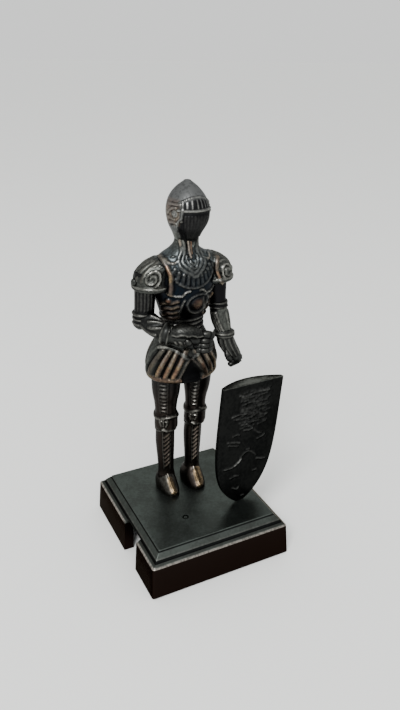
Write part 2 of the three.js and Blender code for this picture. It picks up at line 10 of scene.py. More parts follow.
import bpy
import numpy as np
from mathutils import Matrix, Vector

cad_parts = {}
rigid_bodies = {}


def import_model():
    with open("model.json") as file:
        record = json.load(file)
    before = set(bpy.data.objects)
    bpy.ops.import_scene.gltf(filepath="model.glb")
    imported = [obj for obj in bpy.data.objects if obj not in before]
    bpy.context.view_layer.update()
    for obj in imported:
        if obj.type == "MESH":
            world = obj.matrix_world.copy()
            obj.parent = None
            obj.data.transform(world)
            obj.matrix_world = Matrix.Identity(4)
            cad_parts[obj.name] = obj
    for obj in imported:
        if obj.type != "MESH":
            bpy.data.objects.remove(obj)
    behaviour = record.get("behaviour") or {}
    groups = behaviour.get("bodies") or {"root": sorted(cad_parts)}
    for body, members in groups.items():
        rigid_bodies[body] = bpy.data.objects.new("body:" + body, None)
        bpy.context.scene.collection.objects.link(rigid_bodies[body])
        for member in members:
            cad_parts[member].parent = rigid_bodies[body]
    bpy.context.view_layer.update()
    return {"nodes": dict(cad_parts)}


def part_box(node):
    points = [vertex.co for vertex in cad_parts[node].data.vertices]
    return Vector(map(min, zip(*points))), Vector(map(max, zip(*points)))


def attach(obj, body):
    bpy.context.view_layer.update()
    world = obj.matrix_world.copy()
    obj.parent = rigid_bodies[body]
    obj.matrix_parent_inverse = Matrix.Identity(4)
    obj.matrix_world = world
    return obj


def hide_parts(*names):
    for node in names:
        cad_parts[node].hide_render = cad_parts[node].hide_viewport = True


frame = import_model()
low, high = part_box("plinth")
print("frame nodes:", sorted(frame["nodes"]), "plinth box:", tuple(low), tuple(high))

# %% [markdown]
# ## Sizes and places
#
# The figure is described in shares: hundredths of its own height, from a point on the plate between its
# soles. That is how a sculptor measures a body too, in heads and hands, and it lets one number set the
# whole size. `place` turns shares into millimetres of the frame. The figure leans a little, as the
# photographed one does.

# %% Sizes, in millimetres
MM = 0.001
FIGURE_HEIGHT = 79.0
PLINTH_WIDTH = 36.0
PLINTH_DEPTH = 37.4
SKIRT_HEIGHT = 8.3
SKIRT_FLARE = 0.5
LEDGE_WIDTH, LEDGE_RISE = 1.05, 0.6
STEP_WIDTH, STEP_RISE = 0.4, 0.6
BEVEL_WIDTH, BEVEL_RISE = 1.05, 1.2
PLATE_RISE = 0.35
PLATE_TOP = SKIRT_HEIGHT + LEDGE_RISE + STEP_RISE + BEVEL_RISE + PLATE_RISE
SOLE_GAP = 0.02
SHARE = FIGURE_HEIGHT / 100
MIDDLE = np.array([(low[0] + high[0]) / 2, (low[1] + high[1]) / 2, 0.0]) / MM
LEFT_EDGE = MIDDLE[0] - PLINTH_WIDTH / 2
FRONT_EDGE = MIDDLE[1] - PLINTH_DEPTH / 2
FIGURE_FROM_LEFT, FIGURE_FROM_FRONT = 17.2, 23.3
LEAN_ASIDE, LEAN_FORWARD = 0.012, 0.018


def place(p):
    """Shares to millimetres: x + 0.012 z, y - 0.018 z and z, scaled and set on the plate."""
    x = LEFT_EDGE + FIGURE_FROM_LEFT + SHARE * (p[..., 0] + LEAN_ASIDE * p[..., 2])
    y = FRONT_EDGE + FIGURE_FROM_FRONT + SHARE * (p[..., 1] - LEAN_FORWARD * p[..., 2])
    z = np.maximum(PLATE_TOP + SHARE * p[..., 2], PLATE_TOP + SOLE_GAP)
    return np.stack([x, y, z], axis=-1)


print("plate top at", PLATE_TOP, "mm, one share is", SHARE, "mm")

# %% [markdown]
# ## Curves and ramps
#
# Each form runs through a few rows of numbers that were judged from the photo, and a cubic curve through
# the rows makes it smooth. A ramp turns a height or an angle into a soft mask between 0 and 1, which says
# where a carving or a finish begins and ends. A path is a list of heights and angles. Most carving is the
# same on both sides, so `about` sets a path off to one side of a middle angle, and `mirrored` leads it in
# from one side and out again.

# %% Curves and ramps
TINY = 1e-12


def smooth(rows, t):
    """Cubic curve through rows of numbers, with slope (next - previous) / 2 at each row."""
    rows, t = np.asarray(rows, float), np.asarray(t, float)
    i = np.clip(np.floor(t).astype(int), 0, len(rows) - 2)
    part = (t - i)[..., None]
    a, b = rows[np.maximum(i - 1, 0)], rows[i]
    c, d = rows[i + 1], rows[np.minimum(i + 2, len(rows) - 1)]
    start, end, span = (c - a) / 2, (d - b) / 2, c - b
    return b + part * (start + part * (3 * span - 2 * start - end + part * (start + end - 2 * span)))


def unit(v):
    """v divided by its length."""
    return v / np.maximum(np.linalg.norm(v, axis=-1, keepdims=True), TINY)


def turned(a):
    """An angle in degrees brought to the range -180 to 180."""
    return (a + 180) % 360 - 180


def ramp(value, low, high):
    """0 up to low, 1 from high, and even between."""
    return np.clip((value - low) / (high - low), 0, 1)


def about(middle, path, side=1):
    """[height, middle + side * angle] for each pair of a path."""
    return [[h, middle + side * a] for h, a in path]


def mirrored(middle, path):
    """A path in from one side to the middle angle, and the same out again on the other side."""
    return about(middle, path, -1) + about(middle, path[-2::-1])


print("a curve through 0, 1 and 4 passes", smooth([[0], [1], [4]], [1.5])[0, 0], "between the last two")

# %% [markdown]
# ## Rounded bodies
#
# A wax model for a casting starts as plain rounded bodies. `Body` makes one with numbers: an ellipse that
# changes along a path of stations. Its rings are evenly spaced along it, and its sides lie at even angles.

# %% Rounded bodies
SPACING = 0.24
FINE_STEPS = 60
NEARBY = 0.01


class Body:
    """A body through stations of x, y, z, half width and half depth, in shares.

    surface(t, a) = centre(t) + width(t) sin(a) left - depth(t) cos(a) back
    A level body has left = +x and back = +y. Where a sideways direction is given, left is that direction made
    square to the path, and back is path x left.
    """

    def __init__(self, stations, sideways, outer, spacing):
        """Rings at stations t and runs s, sides at angles a. Carving begins at the station named outer."""
        self.rows, self.sideways, self.from_t = np.array(stations, float), sideways, outer
        self.fine = np.linspace(0, len(stations) - 1, FINE_STEPS * len(stations))
        steps = np.linalg.norm(np.diff(smooth(self.rows, self.fine)[:, :4], axis=0), axis=1)
        self.run = np.concatenate([[0], np.cumsum(steps)])
        rings = max(6, int(np.ceil(self.run[-1] * SHARE / spacing)))
        self.t = np.interp(np.linspace(0, self.run[-1], rings), self.run, self.fine)
        self.s = np.interp(self.t, self.fine, self.run)[:, None]
        around = 2 * np.pi * SHARE * np.sqrt((self.rows[:, 3] ** 2 + self.rows[:, 4] ** 2) / 2).max()
        sides = max(12, int(np.ceil(around / spacing)))
        self.a = np.arange(sides) * 360.0 / sides
        self.base, self.normal = self.surface(self.t)
        self.z = self.base[..., 2]

    def surface(self, t):
        """Points and outward normals at stations t and all angles."""
        row = smooth(self.rows, t)
        left = np.broadcast_to([1.0, 0.0, 0.0], (len(t), 3))
        path = np.broadcast_to([0.0, 0.0, 1.0], (len(t), 3))
        if self.sideways is not None:
            end = len(self.rows) - 1
            ahead, behind = np.minimum(t + NEARBY, end), np.maximum(t - NEARBY, 0)
            path = unit(smooth(self.rows, ahead)[:, :3] - smooth(self.rows, behind)[:, :3])
            side = np.array(self.sideways, float)
            left = unit(side - (path @ side)[:, None] * path)
        back = np.cross(path, left)
        sin, cos = np.sin(np.radians(self.a))[None, :, None], np.cos(np.radians(self.a))[None, :, None]
        wide, deep = row[:, None, 3:4], row[:, None, 4:5]
        points = row[:, None, :3] + wide * sin * left[:, None] - deep * cos * back[:, None]
        along = np.gradient(points, axis=0)
        across = np.roll(points, -1, 1) - np.roll(points, 1, 1)
        return points, unit(np.cross(across, along))


print("bodies are sampled every", SPACING, "mm")

# %% [markdown]
# ## Lines on a body
#
# To carve a line one first has to draw it. `DrawnBody` measures over its own surface, as one does with
# dividers: a line is given by heights and angles, and every point of the surface gets its distance to it.
# On a level body the first number of a pair is a height in shares, and on the others it is a station.

# %% Lines on a body
FAR = 1e9
LINE_STEPS = 8


class DrawnBody(Body):
    """A body that lines can be drawn on."""

    def __init__(self, stations, sideways, outer, spacing):
        """Adds the width of a degree at each point, and what heights or stations are read from."""
        super().__init__(stations, sideways, outer, spacing)
        width = np.linalg.norm(np.roll(self.base, -1, 1) - self.base, axis=2)
        self.per_degree = width * len(self.a) / 360.0
        self.key = self.fine if sideways is not None else smooth(self.rows, self.fine)[:, 2]

    def turn(self, middle=0.0):
        """Each angle of the grid measured from a middle angle."""
        return turned(self.a - middle)[None, :]

    def curve(self, path):
        """A line of [height or station, angle] pairs as [distance along the body, angle], in small steps."""
        path = np.array(path, float)
        steps = np.linspace(0, len(path) - 1, LINE_STEPS * (len(path) - 1) + 1)
        line = smooth(path, steps)
        used = self.fine >= self.from_t
        return np.stack([np.interp(line[:, 0], self.key[used], self.run[used]), line[:, 1]], 1)

    def distance(self, path):
        """Least distance over the surface, in shares, from every point to a line."""
        line = self.curve(path)
        best = np.full(self.z.shape, FAR)
        for (s0, a0), (s1, a1) in zip(line[:-1], line[1:]):
            px, py = turned(self.a[None, :] - a0) * self.per_degree, self.s - s0
            qx, qy = (a1 - a0) * self.per_degree, s1 - s0
            along = np.clip((px * qx + py * qy) / np.maximum(qx * qx + qy * qy, TINY), 0, 1)
            best = np.minimum(best, np.hypot(px - along * qx, py - along * qy))
        best[self.t < self.from_t] = FAR
        return best


rod = DrawnBody([[0, 0, 0, 2, 2], [0, 0, 8, 2, 2]], None, 0.0, SPACING)
print("over a rod's front, from top to middle:", rod.distance([[4, -20], [4, 20]])[-1, 0].round(2), "shares")

# %% [markdown]
# ## Carving
#
# The carving is pressed into the wax or cut from it. `CarvedBody` gives a body one height for each point,
# and a ridge or a groove is a profile across the distance to a line. Four more numbers follow the surface
# into the finish: how far a spot is rubbed bright, which is wear and also painted highlights and glints;
# how much that bright metal is copper; how dark it is, from the patina in the hollows and from painted
# shade in recesses; and how much grey sheen it has, which is painted light that the surface catches. So a
# line that is carved is also worn where hands would wear it.

# %% Carving
FOOT_AT, FOOT_WIDTH, FOOT_DARK = 1.25, 0.5, 0.8
COPPER_FROM = 0.2


class CarvedBody(DrawnBody):
    """A body whose surface also has + lift(t, a) normal, with four finish numbers at each point.

    Each end closes as half an ellipsoid of the given length.
    """

    def __init__(self, stations, sideways=None, ends=(0.0, 0.0), outer=0.0, sheen=0.3, spacing=SPACING):
        super().__init__(stations, sideways, outer, spacing)
        self.ends = ends
        self.lift = np.zeros(self.z.shape)
        self.rubbed, self.copper, self.dark, self.sheen = (self.lift + v for v in (0, 0, 0, sheen))

    def mark(self, share, rubbed, copper=0.0):
        """Keeps the larger of old and new brightness, and takes the new copper where share passes 0.2."""
        self.copper = np.where(share > COPPER_FROM, copper, self.copper)
        self.rubbed = np.maximum(self.rubbed, rubbed * share)

    def ridge(self, path, width, rise, rubbed=0.4, copper=0.0):
        """lift = rise s^0.7 + (1 - s) old lift, s = 1 - (distance / width)^2, and dark along both feet."""
        distance = self.distance(path) / width
        share = np.clip(1 - distance**2, 0, 1)
        raised = np.maximum(self.lift, 0) * (1 - share) + rise * share**0.7
        self.lift = np.where(share > 0, raised, self.lift)
        self.mark(share, rubbed, copper)
        foot = np.clip(1 - np.abs(distance - FOOT_AT) / FOOT_WIDTH, 0, 1)
        self.dark = np.maximum(self.dark * (1 - share), FOOT_DARK * foot)

    def rub(self, path, width, rubbed, copper=0.0):
        """Brightens a line and leaves its height. It paints wear, and also highlights and glints."""
        self.mark(np.clip(1 - (self.distance(path) / width) ** 2, 0, 1), rubbed, copper)

    def groove(self, path, width, depth):
        """lift = -depth (1 - (distance / width)^2), darkened."""
        share = np.clip(1 - (self.distance(path) / width) ** 2, 0, 1)
        self.lift -= depth * share
        self.dark = np.maximum(self.dark, share)

    def sink(self, inside, depth, dark):
        """lift = -depth where inside is 1, darkened."""
        self.lift -= depth * inside
        self.dark = np.maximum(self.dark, dark * inside)


trial = CarvedBody([[0, 0, 0, 2, 2], [0, 0, 8, 2, 2]])
trial.groove([[2, 0], [6, 0]], 0.5, 0.2)
print("a trial rod with one groove: lift from", trial.lift.min().round(2), "to", trial.lift.max().round(2))

# %% [markdown]
# ### Bosses, spirals and bands
#
# Three shapes come up again and again on armour: a round boss such as a rivet, a scroll, and a band all
# round. `Form` adds them. A boss rises as half an ellipsoid, and the others are ridges along a worked-out
# line, so they wear and darken as every ridge does.

# %% Bosses, spirals and bands
RING_AT, RING_WIDTH = 1.15, 0.3
SPIRAL_STEPS = 14


class Form(CarvedBody):
    """A carved body with domes, spirals and bands."""

    def dome(self, where, wide, tall, rise, rubbed=0.4, copper=0.0):
        """lift = rise sqrt(1 - q^2), q the distance from a point over the half width and half height."""
        s0, a0 = self.curve([where, where])[0]
        q = np.hypot(turned(self.a[None, :] - a0) * self.per_degree / wide, (self.s - s0) / tall)
        share = np.sqrt(np.clip(1 - q * q, 0, 1))
        self.lift = np.maximum(self.lift, rise * share)
        self.mark(share**2, rubbed, copper)
        ring = np.clip(1 - np.abs(q - RING_AT) / RING_WIDTH, 0, 1)
        self.dark = np.maximum(self.dark * (share == 0), FOOT_DARK * ring)

    def spiral(self, where, start, turns, reach, tight):
        """A line round a point, its radius shrinking evenly from the reach to a share of it."""
        s0, a0 = self.curve([where, where])[0]
        per_degree = self.per_degree[np.argmin(np.abs(self.s[:, 0] - s0))].mean()
        steps = np.linspace(0, 1, SPIRAL_STEPS)
        phi, radius = np.radians(start + 360 * turns * steps), reach * (1 - (1 - tight) * steps)
        return np.stack([where[0] + radius * np.sin(phi), where[1] + radius * np.cos(phi) / per_degree], 1)

    def band(self, height, width, rise, rubbed=0.4, copper=0.0):
        """A ridge all round at one height or station."""
        self.ridge([[height, a] for a in range(-180, 181, 60)], width, rise, rubbed, copper)


trial = Form([[0, 0, 0, 2, 2], [0, 0, 8, 2, 2]])
trial.band(4, 1, 0.5)
print("a trial rod with one band:", trial.lift.shape, "points, highest", trial.lift.max().round(2), "shares")

# %% [markdown]
# ## From grid to mesh
#
# Blender takes a mesh as points and faces. The rings of a form are joined by quads and shut by a point at
# each end. Blender's own primitives could be bent to shape, but then the numbers at their points would have
# to be looked up again, while a grid keeps its order.


# %% From grid to mesh
def closed(rings, first, last, finish):
    """Rings of points joined by quads and shut by a point at each end, with numbers for each ring point."""
    n, m = rings.shape[:2]
    i, j = np.meshgrid(np.arange(n - 1), np.arange(m), indexing="ij")
    k = (j + 1) % m
    quads = np.stack([i * m + j, i * m + k, (i + 1) * m + k, (i + 1) * m + j], -1).reshape(-1, 4)
    j = np.arange(m)
    k = (j + 1) % m
    start = np.stack([np.full(m, n * m), k, j], 1)
    end = np.stack([np.full(m, n * m + 1), (n - 1) * m + j, (n - 1) * m + k], 1)
    points = np.vstack([rings.reshape(-1, 3), first, last])
    values = []
    for number in finish:
        ends = [number[0].mean(keepdims=True), number[-1].mean(keepdims=True)]
        values.append(np.concatenate([number.ravel(), *ends]))
    return points, [*quads.tolist(), *start.tolist(), *end.tolist()], values


trial_faces = closed(np.zeros((2, 4, 3)), np.zeros(3), np.zeros(3), [])[1]
print("two rings of four points have", len(trial_faces), "faces")

# %% [markdown]
# ### Round ends
#
# A form that ends in the open, such as a finger or a toe, is round there. Three smaller rings make its end,
# so no second mesh has to be fitted on. Finished forms wait in a list until they are joined.

# %% Round ends
END_ANGLES = (22.5, 45, 67.5)
INWARDS = 0.1
forms = []


def solid(form):
    """Vertices of a form, base + lift normal, its faces, and its four finish numbers.

    An end ring is centre + (last ring - centre) cos p + length sin p outwards, for each angle p.
    """
    grid = form.base + form.lift[..., None] * form.normal
    rings, tips = [grid], []
    for end, length in zip((0, -1), form.ends):
        inwards = INWARDS if end == 0 else -INWARDS
        centre = smooth(form.rows, form.t[[end]])[0, :3]
        near = smooth(form.rows, np.clip(form.t[[end]] + inwards, 0, None))[0, :3]
        way = unit(centre - near) * length
        phi = np.radians(END_ANGLES if length else [])
        caps = [centre + (grid[end] - centre) * np.cos(p) + way * np.sin(p) for p in phi]
        if caps:
            rings = [np.array(caps[::-1]), *rings] if end == 0 else [*rings, np.array(caps)]
        tips.append(centre + way)
    repeat = [len(END_ANGLES) if length else 0 for length in form.ends]
    numbers = (form.rubbed, form.copper, form.dark, form.sheen)
    finish = [np.pad(v, (repeat, (0, 0)), "edge") for v in numbers]
    return closed(np.concatenate(rings), *tips, finish)


def keep(form):
    """Adds a finished form to the figure."""
    forms.append(form)
    return form


print("the trial rod has", len(solid(trial)[0]), "vertices")

# %% [markdown]
# ## Helmet
#
# A pointed egg with a low comb. The visor is shut: a window of bars lies sunk between a brow and a rim.
# Below it the dark bevor is fluted, and leaves spread back from the pivots. On a real helmet the rims
# stiffen the sheet and the bars keep a point out. Bars and rims could be separate pieces pushed into the
# egg, but carved on one form they stay one smooth surface, and each line is a row of numbers to move.

# %% Helmet
HELM_TURN = 1.5
# The helmet gets full sheen, a painted reflection of the light its crown catches; the bevor loses it below.
helm = Form(
    [
        [0.4, -1.0, 82.4, 3.0, 3.4],
        [0.4, -1.0, 84.2, 3.1, 3.6],
        [0.4, -1.2, 86.4, 3.9, 4.7],
        [0.4, -1.5, 88.8, 5.1, 6.0],
        [0.4, -1.6, 91.8, 5.7, 6.8],
        [0.4, -1.6, 94.4, 5.5, 6.5],
        [0.4, -1.4, 96.5, 4.6, 5.5],
        [0.5, -1.1, 98.5, 3.0, 3.6],
        [0.6, -0.9, 100.1, 1.0, 1.2],
    ],
    ends=(0, 0.3), sheen=1.0, spacing=0.19,
)
print("helmet grid", helm.lift.shape)

# %% [markdown]
# ### Window
#
# Ramps in height and angle mark out the window and the worn fan behind it. The window is sunk and painted
# black, the shade inside it, and each bar lifts a thin line of it nearly back to the surface. The brow and
# the rim are ridges above and below. The bars on the side of the light get a brighter painted highlight.

# %% Window of the helmet
BROW, ARCH = 95.4, 1.05
turn = helm.turn(HELM_TURN)
brow = BROW + ARCH * np.cos(np.radians(np.clip(2 * turn, -90, 90)))
window = ramp(45 - np.abs(turn), 0, 2) * ramp(helm.z, 93.5, 93.8) * ramp(brow - helm.z, 0, 0.3)
fan = ramp(np.abs(turn), 48, 56) * ramp(118 - np.abs(turn), 0, 20)
fan = fan * ramp(helm.z, 88.5, 90) * ramp(96.5 - helm.z, 0, 1.5)
helm.mark(fan, 0.4, 1.0)
# painted shade: the sunk window is made fully dark
helm.sink(window, 0.8, 1.0)
for k, a in enumerate((-31.5, -17, -1, 12, 25, 37)):
    line = helm.distance(about(HELM_TURN, [[93, a], [97, a]]))
    share = np.clip(1 - (line / 0.23) ** 2, 0, 1) * window
    helm.lift += 0.7 * share
    helm.dark *= 1 - share
    # painted highlight: the three bars on the side of the light are brighter
    helm.mark(share, 0.5 if k < 3 else 0.28)
arch = np.array([-56, -45, -34, -22, -11, 0, 11, 22, 34, 45, 56])
brow_line = BROW + 0.25 + ARCH * np.cos(np.radians(2 * arch)) + 0.02 * (np.abs(arch) > 45)
helm.ridge(np.stack([brow_line, arch + HELM_TURN], 1), 0.33, 0.3, 0.28)
helm.ridge([[93.4, a + HELM_TURN] for a in arch], 0.42, 0.5, 0.5)
print("points in the window", int(window.sum()), "and in the fan", int(fan.sum()))

# %% [markdown]
# ### Leaves and pivots
#
# Folds are cut and leaves raised between the window and the back of the head. The pivot is a boss on a
# boss, and the bevor's edge runs down from it past two rivets.

# %% Leaves and pivots of the helmet
FOLDS = (
    ([95.2, 78], [95.1, 52]),
    ([94.2, 80], [94.4, 55]),
    ([92.9, 82], [93.2, 74]),
    ([90.6, 84], [91.6, 70]),
    ([88.9, 86], [89.6, 68]),
)
LEAVES = (
    ([94.7, 90], [94.8, 70], [94.8, 50]),
    ([92.2, 92], [93.2, 82], [93.8, 74], [93.9, 64]),
    ([91.3, 94], [91.1, 78], [90.9, 68]),
    ([89.6, 96], [90.0, 76], [89.8, 62]),
)
BEVOR_EDGE = ([93, 44], [91.4, 46], [90.5, 54], [89, 60], [87.6, 62], [85.4, 57])
for side in (-1, 1):
    helm.ridge(about(HELM_TURN, [[93.7, 43.5], [95.5, 43.5]], side), 0.4, 0.35, 0.4)
    for rows in FOLDS:
        helm.groove(about(HELM_TURN, rows, side), 0.35, 0.25)
    for rows in LEAVES:
        helm.ridge(about(HELM_TURN, rows, side), 0.42, 0.3, 0.36, 0.6)
    pivot = [92.4, HELM_TURN + 66 * side]
    helm.dome(pivot, 1.1, 1.0, 0.3, 0.1)
    helm.dome(pivot, 0.5, 0.45, 0.55, 0.3)
    helm.ridge(about(HELM_TURN, BEVOR_EDGE, side), 0.4, 0.3, 0.15)
    for rivet in about(HELM_TURN, [[90.5, 46], [89.9, 60]], side):
        helm.dome(rivet, 0.4, 0.4, 0.35, 1.0)
print("helmet lift", helm.lift.min().round(2), "to", helm.lift.max().round(2))

# %% [markdown]
# ### Bevor and comb
#
# The bevor covers the chin. It has nine flutes, and because it faces down, painted shade takes nearly all
# its sheen and keeps it dark, which makes it the darkest part of the head. The comb is one wide ridge down
# the back.

# %% Bevor and comb of the helmet
half = np.interp(helm.z, [83, 85.4, 87.6, 89, 90.5, 91.4, 93], [50, 56, 62, 59, 54, 46, 44])
bevor = ramp(half - np.abs(turn), 0, 4) * ramp(93.3 - helm.z, 0, 0.5) * ramp(helm.z, 83.2, 84.4)
for a in np.arange(-36, 37, 9):
    helm.ridge(about(HELM_TURN, [[85.6, 0.7 * a], [88, 0.9 * a], [91.8, a]]), 0.5, 0.3, 0.05)
# painted shade: the downward-facing bevor loses its sheen, and its darkness is held between 0.3 and 0.65
helm.sheen *= 1 - 0.93 * bevor
helm.dark = np.where(bevor > 0, np.clip(helm.dark, 0.3, 0.65), helm.dark)
helm.ridge([[87, 180], [90, 180], [94, 180], [97.6, 180]], 0.9, 0.35, 0.3)
keep(helm)
print("points in the bevor", int(bevor.sum()))

# %% [markdown]
# ## Cuirass
#
# The cuirass guards the trunk. Waist, chest and neck are one form here, because three would leave seams
# that the casting doesn't have. Painted grey sheen, the light they catch, lies on the shoulders and the
# throat, and the chest stays dark.

# %% Chest, waist and neck
cuirass = Form(
    [
        [0.0, 0.3, 54.5, 6.6, 5.2],
        [0.1, 0.3, 57.2, 6.7, 5.2],
        [0.3, 0.3, 59.8, 6.2, 4.8],
        [0.3, 0.2, 62.6, 6.9, 5.5],
        [0.2, 0.0, 66.0, 7.9, 6.5],
        [0.1, -0.2, 70.0, 8.9, 7.2],
        [0.1, -0.3, 74.0, 9.3, 7.1],
        [0.1, -0.2, 77.4, 8.8, 6.3],
        [0.1, 0.0, 79.8, 7.2, 5.0],
        [0.2, -0.4, 81.6, 4.6, 4.1],
        [0.3, -0.8, 83.2, 3.3, 3.6],
        [0.4, -1.0, 85.0, 3.1, 3.5],
    ],
    sheen=0.0,
)
GORGET = 3
turn = cuirass.turn(GORGET)
# painted sheen: light caught on the tops of the shoulders and on the throat
flank = ramp(np.abs(turn), 28, 42) * ramp(cuirass.z, 77.5, 79.5)
front = 0.3 * (1 - flank) * ramp(cuirass.z, 74.5, 78) * ramp(84.5 - cuirass.z, 0, 1.5)
cuirass.sheen = cuirass.sheen + 0.55 * flank + front
print("cuirass grid", cuirass.lift.shape)

# %% [markdown]
# ### Gorget
#
# The gorget runs down from the neck as nested bands that meet in points, with ten petals spread below it
# over a rolled arc. Bent tubes could be laid there, but ridges on one surface meet in points without a gap.
# Two strips at the throat are rubbed brighter than the rest.

# %% Gorget and petals
for u in np.linspace(-1, 1, 10):
    top, bottom = 75.0 + 2.3 * u * u, 72.8 + 2.4 * u * u
    cuirass.ridge([[top, GORGET + 37 * u], [bottom, GORGET + 43 * u]], 0.62, 0.45, 0.1)
    cuirass.dome([top + 0.1, GORGET + 37 * u], 0.55, 0.5, 0.5, 0.3)
arc = [[77.2, 50], [75.2, 41], [73.4, 29], [72.3, 15], [71.9, 0]]
cuirass.ridge(mirrored(GORGET, arc), 0.45, 0.5, 0.22)
bands = (
    ([[84.4, 62], [82.9, 46], [81.6, 35], [79.4, 30], [77.9, 26], [76.7, 17], [75.6, 5], [75.1, 0]], 0.55),
    ([[84.7, 45], [82.9, 32], [81, 22], [79.3, 22], [78.3, 18], [77.1, 8], [76.2, 0]], 0.5),
    ([[80.6, 14], [79.4, 13], [78.3, 8], [77.2, 0]], 0.4),
    ([[79.2, 6], [78.7, 4.5], [78.1, 0]], 0.36),
)
for rows, width in bands:
    cuirass.ridge(mirrored(GORGET, rows), width, 0.45, 0.24)
cuirass.ridge([[84.6, -17], [83.4, -12], [81.8, -6], [79.9, 1]], 0.42, 0.62, 0.95, 0.45)
cuirass.ridge([[84.4, -3], [82.2, 2], [80.8, 4]], 0.36, 0.5, 0.6, 1.0)
print("cuirass lift", cuirass.lift.min().round(2), "to", cuirass.lift.max().round(2))

# %% [markdown]
# ### Chest and waist
#
# On both sides a hook lies by the collar, a crest crosses the ribs and four leaves lie on the flank, below
# a copper boss. An oval boss sits over the belly, three bands go round the waist, and a ridge runs down the
# back. The strap on the right shoulder comes last, because it lies over the rest.

# %% Leaves, bosses and strap
HOOK = [[79.7, 63], [79.0, 53], [78.7, 45], [78.8, 38], [79.3, 31]]
CREST = [[70.6, 54], [69.9, 42], [69.7, 33], [69.7, 25], [70.8, 18], [71.1, 10]]
LEAF = [[66.6, 76], [67.3, 60], [67.4, 46], [68.1, 34]]
for side in (-1, 1):
    cuirass.ridge(about(GORGET, [[84.8, 60], [83.2, 50]], side), 0.4, 0.45, 0.95, 0.5)
    cuirass.ridge(about(GORGET, HOOK, side), 0.5, 0.45, 0.3)
    # painted highlight along the hook
    cuirass.rub(about(GORGET, HOOK[:4], side), 0.4, 0.85, 0.3)
    cuirass.dome([80.3, GORGET + 48 * side], 0.7, 0.5, 0.35, 0.15)
    cuirass.ridge(about(GORGET, CREST, side), 0.4, 0.45, 0.6)
    cuirass.dome([68.2, GORGET + 52 * side], 1.1, 0.9, 0.8, 0.6, 1.0)
    for drop in (0, 1.75, 3.5, 5.25):
        leaf = [[h - drop, a] for h, a in LEAF]
        cuirass.ridge(about(GORGET, leaf, side), 0.72, 0.55, 0.36, 0.7)
    cuirass.ridge(about(GORGET, [[68.4, 20], [66.4, 26], [63.6, 33]], side), 0.4, 0.4, 0.4)
    cuirass.ridge(about(0, [[77.6, 140], [74, 152], [71, 172]], side), 0.5, 0.35, 0.2)
BELLY = (66.7, 13)
oval = np.radians(np.arange(-180, 181, 30))
inside = np.clip(1.3 - np.hypot((cuirass.z - BELLY[0]) / 2.8, cuirass.turn(BELLY[1]) / 23), 0, 0.3) / 0.3
cuirass.sink(inside, 0.2, 0.5)
cuirass.ridge(np.stack([BELLY[0] + 3 * np.sin(oval), BELLY[1] + 25 * np.cos(oval)], 1), 0.45, 0.5, 0.2)
cuirass.dome([66.8, 11], 2.1, 2.2, 0.7, 0.28, 1.0)
for h in (61.9, 60.4, 58.9):
    cuirass.ridge([[h - 0.8 * np.cos(np.radians(a)), a] for a in range(-180, 181, 30)], 0.42, 0.32, 0.3)
cuirass.ridge([[62, 180], [69.5, 180], [77, 180]], 0.8, 0.45, 0.3)
strap = [[70.5, -44], [72.3, -42], [74.4, -42], [75.9, -43]]
strap += [[77.7, -50], [78.6, -59], [79.5, -71], [79.9, -86]]
cuirass.ridge(strap, 0.85, 0.85, 0.3, 0.7)
# painted highlight on the middle of the strap
cuirass.rub(strap[2:5], 0.6, 0.8, 1.0)
keep(cuirass)
print("cuirass grid", cuirass.lift.shape, "lift", cuirass.lift.min().round(2), cuirass.lift.max().round(2))

# %% [markdown]
# ## Tassets
#
# The short bell of plates round the hips. Its profile runs down the inside, round the rolled hem and up the
# outside, so the skirt is really open below and the thighs come out of it. It parts in front in a dark
# slit.

# %% Tassets
tassets = Form(
    [
        [0.1, 0.2, 48.5, 8.2, 6.1],
        [0.1, 0.2, 45.5, 9.0, 6.8],
        [0.2, 0.2, 42.9, 9.2, 6.9],
        [0.3, 0.2, 42.3, 9.8, 7.5],
        [0.3, 0.2, 42.9, 10.9, 8.3],
        [0.3, 0.2, 43.8, 11.2, 8.6],
        [0.2, 0.2, 44.5, 10.8, 8.1],
        [0.1, 0.2, 47.0, 10.9, 8.3],
        [0.1, 0.2, 50.0, 10.3, 7.9],
        [0.2, 0.2, 53.0, 9.0, 7.0],
        [0.2, 0.2, 55.6, 7.6, 6.0],
        [0.2, 0.2, 57.6, 6.6, 5.2],
    ],
    outer=3.4, sheen=0.4,
)
print("tassets grid", tassets.lift.shape)

# %% [markdown]
# ### Flutes
#
# On each side four flutes fan out from the waist. A flute is a raised strip with a dark groove beside it,
# rubbed to copper all over, with a painted glint along one edge; both are brighter on the side of the light.
# A border frames them, with a painted highlight near its top, and one more edge follows the slit. The back
# has plain ribs. Strips made apart would have to be bent to the bell, while a ridge already follows it.

